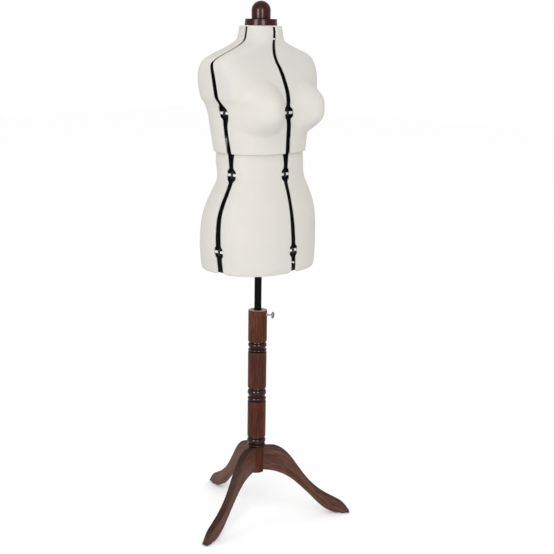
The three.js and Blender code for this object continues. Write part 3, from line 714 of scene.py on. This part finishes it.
def shell_solid(outer, normals, thickness, rim, outward, steps=5, fabric=None):
    """A closed shell under a grid of points, with a rounded rim. Returns its points, faces,
    a number for each face (0 outside, 1 inside) and the fabric coordinates."""
    rows, columns = outer.shape[:2]
    inner = outer - normals * thickness
    r, c = np.array(border(rows, columns)).T
    edge, up = outer[r, c], normals[r, c]
    inside = outer[np.clip(r, 1, rows - 2), np.clip(c, 1, columns - 2)]
    along = np.roll(edge, -1, axis=0) - np.roll(edge, 1, axis=0)
    out = np.cross(along, up)
    out /= np.linalg.norm(out, axis=1, keepdims=True)
    out *= np.sign(np.sum(out * (edge - inside), axis=1))[:, None]
    flat_out = np.stack([1.0 * (c == columns - 1) - (c == 0), 1.0 * (r == rows - 1) - (r == 0),
                         0 * r], -1)
    first = (r * columns + c).tolist()
    rings, ring_fabric = [], []
    for k in range(1, steps):
        angle = math.pi * k / steps
        rings.append(edge + out * rim * math.sin(angle)
                     - up * thickness / 2 * (1 - math.cos(angle)))
        if fabric is not None:
            ring_fabric.append(
                fabric[r, c] + flat_out * (rim + thickness / 2) * angle / 2)
    points = np.concatenate([outer.reshape(-1, 3), inner.reshape(-1, 3), *rings])
    cells = rows * columns
    faces, sides = [], []

    def add(face, side):
        faces.append(face if outward else tuple(reversed(face)))
        sides.append(side)

    for i in range(rows - 1):
        for j in range(columns - 1):
            a, b = i * columns + j, i * columns + j + 1
            add((a, b, b + columns, a + columns), 0)
            well_inside = min(i, j, rows - 2 - i, columns - 2 - j) >= 2
            add((cells + a, cells + a + columns, cells + b + columns, cells + b),
                int(well_inside))
    count = len(first)
    stack = [first] + [[2 * cells + k * count + i for i in range(count)]
                       for k in range(steps - 1)] + [[cells + i for i in first]]
    for upper, lower in zip(stack, stack[1:]):
        for i in range(count):
            j = (i + 1) % count
            add((upper[j], upper[i], lower[i], lower[j]), 0)
    if fabric is not None:
        flat = fabric.reshape(-1, 3)
        fabric = np.concatenate([flat, flat, *ring_fabric])
    return points, faces, sides, fabric


# ---- torso pieces

HEIGHTS = {girth: centre_of(f"{girth}_wheel_front")[2] for girth in GIRTHS}
PARTS = {"upper": (UPPER_LEVELS, ("bust",)), "lower": (LOWER_LEVELS, ("waist", "hip"))}


def make_panel(part, quarter):
    levels, girths = PARTS[part]
    outer, normals, fabric = panel_grid(levels, quarter, [HEIGHTS[g] for g in girths])
    side_x, side_y = QUARTERS[quarter]
    points, faces, sides, fabric = shell_solid(
        outer, normals, SHELL, RIM, side_x * side_y < 0, fabric=fabric)
    cad_node = f"{part}_{quarter}_panel"
    panel = make_piece(cad_node + "_cover", points, faces, [FABRIC, SHELL_PLASTIC], cad_node,
                       [cad_node], sides, 50)
    set_attribute(panel, "knit", fabric * MM)
    for girth in girths:
        for place in quarter.split("_"):
            make_nut(girth, place, quarter, cad_node)


def spindle_frame(girth, place, sign):
    """A frame at a thumbwheel's centre: +Z along its spindle, +Y out of the torso."""
    out = Vector(OUTWARD[place])
    spindle = out.cross(Vector((0, 0, 1))) * sign
    return frame_matrix(spindle, out, centre_of(f"{girth}_wheel_{place}"))


def make_nut(girth, place, quarter, body):
    """The white nut tube of one spindle end, and the saddle that holds it in the shell."""
    side_x, side_y = QUARTERS[quarter]
    to_panel = Vector((side_x, side_y, 0))
    sign = 1 if Vector(OUTWARD[place]).cross(Vector((0, 0, 1))).dot(to_panel) > 0 else -1
    r = NUT_RADIUS
    tube = lathe(filleted([
        (NUT_BORE, NUT_START, 0.3), (r, NUT_START, 0.6), (r, NUT_START + 2.2, 0.4),
        (r - 0.4, NUT_START + 2.7, 0.3), (r - 0.4, NUT_END, 0.8), (NUT_BORE, NUT_END, 0.3)],
        3, True), 32, True)
    saddle = block((-3, 2.7, NOTCH_HALF_WIDTH + 1.5), (3, 3.9, NUT_END - 1))
    points, faces = joined(tube, saddle)
    make_piece(f"{girth}_{place}_nut_{quarter}", placed(points, spindle_frame(girth, place, sign)),
               faces, [WHITE_PLASTIC], body, ())


def make_wheel(girth, place):
    """A knurled thumbwheel on a rod with a right-hand and a left-hand thread."""
    teeth, segments_each = 30, 4
    hub, face, half, outer = 4.6, 1.5, WHEEL_HALF, WHEEL_RADIUS
    profile = filleted([
        (ROD_RADIUS, -face), (hub, -face, 0.4), (hub + 0.8, -half, 0.4), (outer - 1, -half, 0.4),
        (outer, -half + 0.7, 0.4), (outer, half - 0.7, 0.4), (outer - 1, half, 0.4),
        (hub + 0.8, half, 0.4), (hub, face, 0.4), (ROD_RADIUS, face)], 3)
    points, faces = lathe(profile, teeth * segments_each, True)
    points = knurled(points, teeth, outer - 1.2, 0.9, 0.05, 0.6)
    rod, other = (threaded_rod(0, ROD_REACH, ROD_RADIUS, lead, ROD_STARTS)
                  for lead in (ROD_LEAD, -ROD_LEAD))
    other = (other[0] * [1, 1, -1], [tuple(reversed(f)) for f in other[1]])
    points, faces = joined((points, faces), rod, other)
    cad_node = f"{girth}_wheel_{place}"
    make_piece(cad_node + "_knurled", placed(points, spindle_frame(girth, place, 1)), faces,
               [DARK_PLASTIC], cad_node, [cad_node], sharp_degrees=50)


def strip_layout(z):
    """Depth below the surface and half width of a backing strip, at heights."""
    shoulder, neck = (eased(np.clip((z - low) / (high - low), 0, 1))
                      for low, high in (STRIP_SHOULDER, STRIP_NECK))
    return STRIP_DEPTH - 4 * shoulder - 4.5 * neck, 30 - 6 * shoulder - 10 * neck


def seam_line(levels, place, rows):
    section = section_at(levels, rows)
    nothing = 0 * rows
    lines = {
        "front": (nothing, -section[:, 2]), "back": (nothing, section[:, 3]),
        "right": (-section[:, 1], section[:, 4]), "left": (section[:, 1], section[:, 4]),
    }
    return np.stack([*lines[place], section[:, 0]], -1)


def make_strip(part, place):
    """The black strip behind a seam, with two lugs beside each thumbwheel."""
    levels, girths = PARTS[part]
    first, last = 2, len(levels) - 1.1
    if part == "lower":
        levels = levels.copy()
        levels[:2, 1:] = levels[2, 1:]
        levels[:2, 0] += 3
        levels[-1, 0] = LOWER_STRIP_TOP
        first, last = 0, len(levels) - 1
    dense = np.linspace(first, last, SEAM_SAMPLES)
    distance = distance_along(seam_line(levels, place, dense))
    count = int(distance[-1] / STRIP_SPACING)
    rows = np.interp(np.linspace(STRIP_RIM, distance[-1] - STRIP_RIM, count), distance, dense)
    centre = seam_line(levels, place, rows)
    after, before = (seam_line(levels, place, np.clip(rows + step, 0, len(levels) - 1))
                     for step in (SEAM_STEP, -SEAM_STEP))
    across = sideways(place)
    normal = np.cross((after - before) * (1 - across * [0, 1, 0]), across)
    normal /= np.linalg.norm(normal, axis=1, keepdims=True)
    normal *= np.sign(normal @ np.array(OUTWARD[place]))[:, None]
    depth, half_width = strip_layout(centre[:, 2])
    shares = np.linspace(-1, 1, STRIP_COLUMNS)
    outer = (centre - normal * depth[:, None])[:, None, :] + (
        shares[None, :, None] * (half_width[:, None, None] - STRIP_RIM) * across)
    normals = np.repeat(normal[:, None, :], STRIP_COLUMNS, axis=1)
    points, faces, _, _ = shell_solid(
        outer, normals, STRIP_THICKNESS, STRIP_RIM, place in ("front", "left"), steps=4)
    cad_node = f"{part}_{place}_strip"
    strip = make_piece(cad_node + "_moulded", points, faces, [BLACK_PLASTIC], cad_node,
                       [cad_node], sharp_degrees=35)
    if part == "upper":
        combine(strip, "UNION", guide_bar(place))
    lug = block((-LUG_HALF_HEIGHT, SPINDLE_DEPTH - STRIP_DEPTH - 1, LUG_START),
                (LUG_HALF_HEIGHT, SPINDLE_DEPTH - LUG_DEPTH, LUG_END))
    for girth in girths:
        for sign in (1, -1):
            combine(strip, "UNION", lug, spindle_frame(girth, place, sign))


def sideways(place):
    """A level direction along the surface at a seam."""
    return np.abs(np.array(OUTWARD[place], float)[[1, 0, 2]])


def guide_bar(place):
    """The bar that runs from an upper strip into the neck core."""
    out = np.array(OUTWARD[place], float)
    ends = np.array([out * GUIDE_START, out * GUIDE_REACH[place]]) + [0, 0, GUIDE_Z[place]]
    around = sideways(place) * GUIDE_HALF_WIDTH + [0, 0, GUIDE_HALF_HEIGHT]
    return block(np.minimum(*ends) - around, np.maximum(*ends) + around)


# ---- neck pieces

def make_neck():
    turned("neck_flange_turned", [
        (BOLT_HOLE_RADIUS, FLANGE_BOTTOM, 0.4), (FLANGE_RADIUS, FLANGE_BOTTOM, 1.0),
        (FLANGE_RADIUS - 1.3, FLANGE_TOP, 1.6), (BOLT_HOLE_RADIUS, FLANGE_TOP, 0.4)], 128,
        BROWN_PLASTIC, "neck", ["neck_flange"], True)
    radius, bottom, hole_top = KNOB_RADIUS, FLANGE_TOP + 0.3, 1450
    shoulder = KNOB_TOP - radius
    dome = [(radius * math.cos(a), shoulder + radius * math.sin(a))
            for a in np.linspace(0, math.pi / 2, 15)[1:-1]]
    points, faces = lathe(
        filleted([(BOLT_HOLE_RADIUS, bottom), (radius - 0.4, bottom, 1.2), (radius, shoulder)])
        + dome + [(0, KNOB_TOP), (0, hole_top), (BOLT_HOLE_RADIUS, hole_top)], 96, True)
    make_piece("neck_knob_turned", points, faces, [BROWN_PLASTIC], "neck", ["neck_knob"],
               sharp_degrees=50)
    low, high = heights_of("neck_plate")
    plate_radius = 36
    points, faces = lathe(filleted([
        (BOLT_HOLE_RADIUS, low, 0.3), (plate_radius, low, 1.2), (plate_radius, high, 1.2),
        (BOLT_HOLE_RADIUS, high, 0.3)], closed=True), 96, True)
    outside = np.hypot(points[:, 0], points[:, 1]) > plate_radius / 2
    points[outside] *= [1.22, 0.98, 1]
    make_piece("neck_plate_oval", points, faces, [BLACK_PLASTIC], "neck", ["neck_plate"])


def make_stud(stud, strip):
    """A white peg with a button head, standing in a centre seam."""
    low, high = box_mm(stud)
    length = high[1] - low[1]
    shank, button = 1.9, 2.3
    out = OUTWARD[stud.split("_")[-1]]
    turn = frame_matrix(out, (0, 0, 1), centre_of(stud) - np.array(out) * length / 2)
    turned(f"{stud}_peg", [
        (0, 0), (shank, 0, 0.3), (shank, length - 3.2, 0.4), (button, length - 2.8, 0.4),
        (button, length, 1.2), (0, length)], 32, WHITE_PLASTIC, strip, [stud],
        turn=turn)


# ---- stand pieces

def bead(bottom, top, radius):
    """A bead between two grooves, from its lower to its upper edge."""
    middle, half = (bottom + top) / 2, (top - bottom) / 2
    return [(GROOVE_RADIUS + (radius - GROOVE_RADIUS) * math.cos(a), middle + half * math.sin(a))
            for a in np.linspace(-1.45, 1.45, 11)]


def shaft(bottom, top, radius):
    """A plain length of the post with rounded shoulders."""
    return filleted([
        (GROOVE_RADIUS, bottom), (radius, bottom + 0.4, 2.6), (radius, top - 0.4, 2.6),
        (GROOVE_RADIUS, top)], 5)


# The post's turned lengths above its hub: lower edge, upper edge and radius.
TURNINGS = (
    (bead, 208.8, 215.5, 26.4), (bead, 217, 234.5, 27.1), (shaft, 237, 346.2, POST_LOWER_RADIUS),
    (bead, 347, 359, 27), (bead, 361.5, 381.5, 27.2), (shaft, 384.6, 493.7, POST_MIDDLE_RADIUS),
    (bead, 494.5, 503, 27), (bead, 505.5, 520.5, 27.1),
)
BEADED = ((LEG_TOP + 0.4, 237), (346.5, 384.5), (494, 523))
PAD_HOLE_RADIUS = 4
CLAMP_HOLES = ((PAD_HOLE_RADIUS, 11, 18), (5.3, 17.3, 30))     # radius, nearer end, farther end


def make_post():
    profile = filleted([
        (0, POST_BOTTOM), (HUB_RADIUS, POST_BOTTOM, 3), (HUB_RADIUS, LEG_TOP + 0.3)])
    for shape, low, high, radius in TURNINGS:
        profile += shape(low, high, radius)
    profile += filleted([
        (GROOVE_RADIUS, 523), (POST_RADIUS, 523.4, 2.6), (POST_RADIUS, POST_TOP, 2.0),
        (BORE_RADIUS, POST_TOP, 0.8), (BORE_RADIUS, BORE_FLOOR), (0, BORE_FLOOR)], 5)
    points, faces = lathe(profile, 96)
    slots = []
    for face in faces:
        spot = points[list(face)].mean(axis=0)
        # Faces on the top end take the lighter end colour, a painted highlight.
        on_end = math.hypot(spot[0], spot[1]) < POST_RADIUS - 1.2 and spot[2] > POST_TOP - 1.5
        on_bead = any(low < spot[2] < high for low, high in BEADED)
        slots.append(2 if on_end else int(on_bead))
    post = make_piece("post_turned", points, faces, [POST_WOOD, BEAD_WOOD, END_WOOD_PAINTED_HIGHLIGHT], "stand",
                      ["post"], slots, 60)
    recess = block((LEG_ROOT - 0.15, -LEG_THICKNESS / 2 - 0.05, POST_BOTTOM - 5),
                   (HUB_RADIUS + 9, LEG_THICKNESS / 2 + 0.05, LEG_TOP + 0.25))
    for number in LEG_NUMBERS:
        combine(post, "DIFFERENCE", recess, leg_turn(number))
    for radius, start, end in CLAMP_HOLES:
        drill(post, radius, start, end)
    co = np.zeros(len(post.data.vertices) * 3)
    post.data.vertices.foreach_get("co", co)
    co = co.reshape(-1, 3) / MM - AXIS
    set_attribute(post, "grain", (co + [7, 3, 0]) * MM)
    # Painted shade: the wood darkens towards each end of the bead groups, where the grooves are.
    groove_shade = np.zeros_like(co)
    for height in np.ravel(BEADED):
        groove_shade[:, 0] += 0.7 * np.exp(-np.abs(co[:, 2] - height) / 4)
    set_attribute(post, "edge", groove_shade)


def leg_turn(number):
    return Matrix.Rotation(math.radians(LEG_ANGLES[number - 1]), 4, "Z")


def drill(piece, radius, start, end):
    """Cuts a round hole along the clamp screw's line."""
    hole = lathe([(0, start), (radius, start), (radius, end), (0, end)], 24)
    combine(piece, "DIFFERENCE", hole, clamp_frame())


def clamp_frame():
    out = (math.cos(CLAMP_ANGLE), math.sin(CLAMP_ANGLE), 0)
    return frame_matrix(out, (0, 0, 1), (0, 0, CLAMP_Z))


def bezier(steps, *points):
    """Points along a cubic curve, without its first."""
    p0, p1, p2, p3 = np.array(points, float)
    t = np.linspace(0, 1, steps + 1)[1:, None]
    return ((1 - t) ** 3 * p0 + 3 * t * (1 - t) ** 2 * p1 + 3 * t ** 2 * (1 - t) * p2
            + t ** 3 * p3).tolist()


def resampled(line, shares):
    line = np.array(line)
    distance = distance_along(line)
    wanted = shares * distance[-1]
    return np.stack([np.interp(wanted, distance, line[:, k]) for k in range(2)], -1)


def leg_edges():
    """The lower and upper edge of a leg, as points (distance from the axis, height)."""
    foot = LEG_FOOT
    root = (LEG_ROOT, POST_BOTTOM + 6)
    lower = [root]
    lower += bezier(24, root, (88, POST_BOTTOM + 5), (118, 98), (150, 68))
    lower += bezier(24, (150, 68), (178, 42), (200, foot + 5), (240, foot))
    lower += [(LEG_REACH - 3, foot)]
    upper = [(LEG_ROOT, LEG_TOP), (48, LEG_TOP)]
    upper += bezier(24, (48, LEG_TOP), (100, 200), (120, 134), (166, 90))
    upper += bezier(24, (166, 90), (198, 60), (224, 52), (248, 38))
    upper += bezier(16, (248, 38), (263, 29), (LEG_REACH - 7, 12), (LEG_REACH - 2, foot + 0.8))
    return lower, upper


def make_leg(number):
    """A cabriole leg with rounded edges and a reeded upper edge."""
    taper_start, reeding_start, rows = 60, 30, 84
    lower, upper = leg_edges()
    shares = 1 - (1 - np.linspace(0, 1, rows)) ** 1.25
    bottoms, tops = resampled(lower, shares), resampled(upper, shares)
    rings, darks, grains = [], [], []
    for (bx, bz), (tx, tz), along in zip(bottoms, tops, distance_along((bottoms + tops) / 2)):
        height = math.hypot(tx - bx, tz - bz)
        t = min(max((bx - taper_start) / (LEG_REACH - taper_start), 0), 1)
        width = LEG_THICKNESS - (LEG_THICKNESS - TOE_THICKNESS) * eased(t)
        section, dark = leg_section(width, height, min(along / reeding_start, 1))
        up = np.array([tx - bx, tz - bz]) / max(height, 1e-6)
        rings.append([(bx + up[0] * h, a, bz + up[1] * h) for a, h in section])
        darks.append(dark)
        grains.append([(a, h - height / 2, along) for a, h in section])
    points = np.array(rings).reshape(-1, 3)
    faces = closed_tube(len(rings), len(rings[0]), True)
    leg = make_piece(f"leg_{number}_carved", placed(points, leg_turn(number)), faces, [LEG_WOOD],
                     "stand", [f"leg_{number}"], sharp_degrees=38)
    grain = np.array(grains).reshape(-1, 3) + [31 * number, 5, 0]
    set_attribute(leg, "grain", grain * MM)
    edge = np.zeros_like(points)
    edge[:, 0] = np.array(darks).ravel()
    set_attribute(leg, "edge", edge)


def leg_section(width, height, reeding):
    """Points (across, up) round a leg's section, and how dark each is: darker stain along the
    reeded top, painted shade along the underside.
    """
    corner = min(2.2, height * 0.2)
    flat = width / 2 - corner
    round_corner = np.linspace(0, math.pi / 2, 4)
    points = [(flat + corner * math.sin(a), corner - corner * math.cos(a)) for a in round_corner]
    # Painted shade darkens the underside's corners and the lower sides; the top is darker stain.
    dark = [0.5 - 0.4 * a for a in round_corner]
    for share in np.linspace(0.1, 0.9, 7):
        points.append((width / 2, corner + (height - 2 * corner) * share))
        dark.append(max(0, 0.35 - share * 2) * 0.5 + max(0, share - 0.85))
    points += [(flat + corner * math.cos(a), height - corner + corner * math.sin(a))
               for a in round_corner]
    dark += [0.55 + 0.3 * a for a in round_corner]
    depth = min(1.1, height * 0.03) * reeding
    left = [(-x, z) for x, z in reversed(points)]
    left_dark = dark[::-1]
    for share in np.linspace(0.94, -0.94, 31):
        groove = depth * (1 - abs(math.sin(2 * math.pi * (share + 1))) ** 0.6)
        points.append((flat * share, height - groove))
        dark.append(1.0)
    return points + left, dark + left_dark


def make_stand_fittings():
    pad_radius, pad_height = 8.5, 3.0
    for number in LEG_NUMBERS:
        pad = f"foot_pad_{number}"
        turned(pad + "_glide", [
            (0, 0), (pad_radius - 0.9, 0, 0.5), (pad_radius, 1.0, 0.6),
            (pad_radius, pad_height, 0.3), (0, pad_height)], 40, RUBBER, "stand", [pad],
            turn=Matrix.Translation((*centre_of(pad)[:2], 0)))
    bore, bush_top = POLE_RADIUS + POLE_CLEARANCE, POST_TOP - 0.5
    bush = turned("post_bush_ring", [
        (bore, BUSH_BOTTOM, 0.3), (BUSH_RADIUS, BUSH_BOTTOM, 0.5), (BUSH_RADIUS, bush_top, 0.4),
        (bore, bush_top, 0.6)], 96, BLACK_PLASTIC, "stand", ["post_bush"], True)
    drill(bush, PAD_HOLE_RADIUS, 5, 20)
    inner, outer, near, far = 2.8, 5.0, 17.6, 27.0
    turned("clamp_insert_collar", [
        (inner, near, 0.2), (outer, near, 0.3), (outer, far, 0.6), (inner, far, 0.4)], 40,
        CHROME, "stand", ["clamp_insert"], True, clamp_frame())
    make_clamp_screw()
    bore = POLE_RADIUS - POLE_WALL
    turned("pole_tube", [
        (bore, POLE_BOTTOM, 0.3), (POLE_RADIUS, POLE_BOTTOM, 0.5), (POLE_RADIUS, POLE_TOP, 0.6),
        (bore, POLE_TOP, 0.3)], 64, BLACK_STEEL, "pole", ["pole"], True)


def make_clamp_screw():
    """A thumbscrew with a knurled disc head."""
    head, rim, teeth, segments_each = CLAMP_HEAD_REACH, 9.5, 36, 4
    profile = filleted([
        (0, head - 3), (rim - 1, head - 2.6, 0.5), (rim, head - 1.6, 0.4), (rim, head + 0.8, 0.4),
        (rim - 1.1, head + 1.8, 0.6), (5.5, head + 1.0, 0.8), (0, head + 0.7)])
    points, faces = lathe(profile, teeth * segments_each)
    stem_start, stem_radius, pitch = 14.2, 2.5, 1.0
    stem = threaded_rod(stem_start, head - 2.8, stem_radius, pitch, 1, 20, 0.25)
    points, faces = joined((knurled(points, teeth, rim - 0.7, 0.5, 0.04), faces), stem)
    make_piece("clamp_screw_knurled", placed(points, clamp_frame()), faces, [CHROME],
               "clamp_screw", ["clamp_screw"], sharp_degrees=50)


def finish_cad_nodes():
    """The pieces hidden inside others keep their CAD shape."""
    kept = {
        ZINC: ["knob_bolt"] + [f"leg_bolt_{number}" for number in LEG_NUMBERS],
        LEG_WOOD: [f"leg_dowel_{number}" for number in LEG_NUMBERS],
        BLACK_PLASTIC: ["neck_core", "pole_plug"],
        RUBBER: ["clamp_pad"],
    }
    for material, names in kept.items():
        for name in names:
            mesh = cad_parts[name].data
            mesh.materials.clear()
            mesh.materials.append(material)


# ---- studio

CAMERA_AZIMUTH = -138.0          # from the axis to the camera, measured from +X
CAMERA_DISTANCE, CAMERA_HEIGHT = 3227.0, 1390.0
CAMERA_PITCH, CAMERA_ASIDE, CAMERA_ROLL = 11.87, 0.95, 0.84
SENSOR_WIDTH, FOCAL_LENGTH = 36, 75.444
FLOOR_HALF_WIDTH = 14000
LIT_HEIGHT = 900                 # the lights face this height on the axis


def towards(azimuth, elevation):
    """A direction from two angles in degrees."""
    a, e = math.radians(azimuth), math.radians(elevation)
    return Vector((math.cos(a) * math.cos(e), math.sin(a) * math.cos(e), math.sin(e)))


def add_area_light(name, azimuth, elevation, distance, width, height, watts):
    """A soft box at an azimuth from the camera's, facing the torso. Sizes are in metres."""
    data = bpy.data.lights.new(name, "AREA")
    data.shape = "RECTANGLE"
    data.size, data.size_y = width, height
    data.energy = watts
    light = new_object(name, data)
    direction = towards(CAMERA_AZIMUTH + azimuth, elevation)
    light.location = Vector((AXIS + [0, 0, LIT_HEIGHT]) * MM) + direction * distance
    light.rotation_euler = direction.to_track_quat("Z", "Y").to_euler()
    return light


def add_camera():
    look = towards(CAMERA_AZIMUTH + 180 - CAMERA_ASIDE, -CAMERA_PITCH)
    right = look.cross(Vector((0, 0, 1))).normalized()
    roll = math.radians(CAMERA_ROLL)
    up = right.cross(look) * math.cos(roll) - right * math.sin(roll)
    spot = AXIS + CAMERA_DISTANCE * np.array(towards(CAMERA_AZIMUTH, 0)) + [0, 0, CAMERA_HEIGHT]
    data = bpy.data.cameras.new("camera")
    data.sensor_width = SENSOR_WIDTH
    data.lens = FOCAL_LENGTH
    camera = new_object("camera", data)
    camera.matrix_world = frame_matrix(-look, up, spot * MM)
    bpy.context.scene.camera = camera


def add_studio():
    material, _, _ = plain_material("floor", (0.985, 0.985, 0.985), 0.8,
                                    Specular_IOR_Level=0.0)
    half = FLOOR_HALF_WIDTH
    corners = [(-half, -half, 0), (half, -half, 0), (half, half, 0), (-half, half, 0)]
    floor = make_piece("floor", corners, [(0, 1, 2, 3)], [material])
    world = bpy.data.worlds.new("studio")
    world.use_nodes = True
    set_inputs(world.node_tree.nodes["Background"], Color=(1, 1, 1, 1), Strength=1.0)
    bpy.context.scene.world = world
    bpy.context.scene.view_settings.view_transform = "Standard"
    add_area_light("key", -2, 44, 3.6, 2.2, 2.2, 19)
    add_area_light("fill", -8, 16, 3.2, 1.5, 1.5, 29).visible_glossy = False
    add_area_light("left_sheen", -36, 13, 3.2, 0.9, 1.5, 130).visible_diffuse = False
    add_area_light("right_sheen", 16, 13, 3.2, 0.7, 1.5, 95).visible_diffuse = False


add_camera()
for quarter_name in QUARTERS:
    make_panel("upper", quarter_name)
    make_panel("lower", quarter_name)
for place_name in PLACES:
    make_strip("upper", place_name)
    make_strip("lower", place_name)
    for girth_name in GIRTHS:
        make_wheel(girth_name, place_name)
make_neck()
for place_name in ("front", "back"):
    make_stud(f"neck_stud_{place_name}", f"upper_{place_name}_strip")
    make_stud(f"hem_stud_{place_name}", f"lower_{place_name}_strip")
make_post()
for leg_number in LEG_NUMBERS:
    make_leg(leg_number)
make_stand_fittings()
finish_cad_nodes()
add_studio()
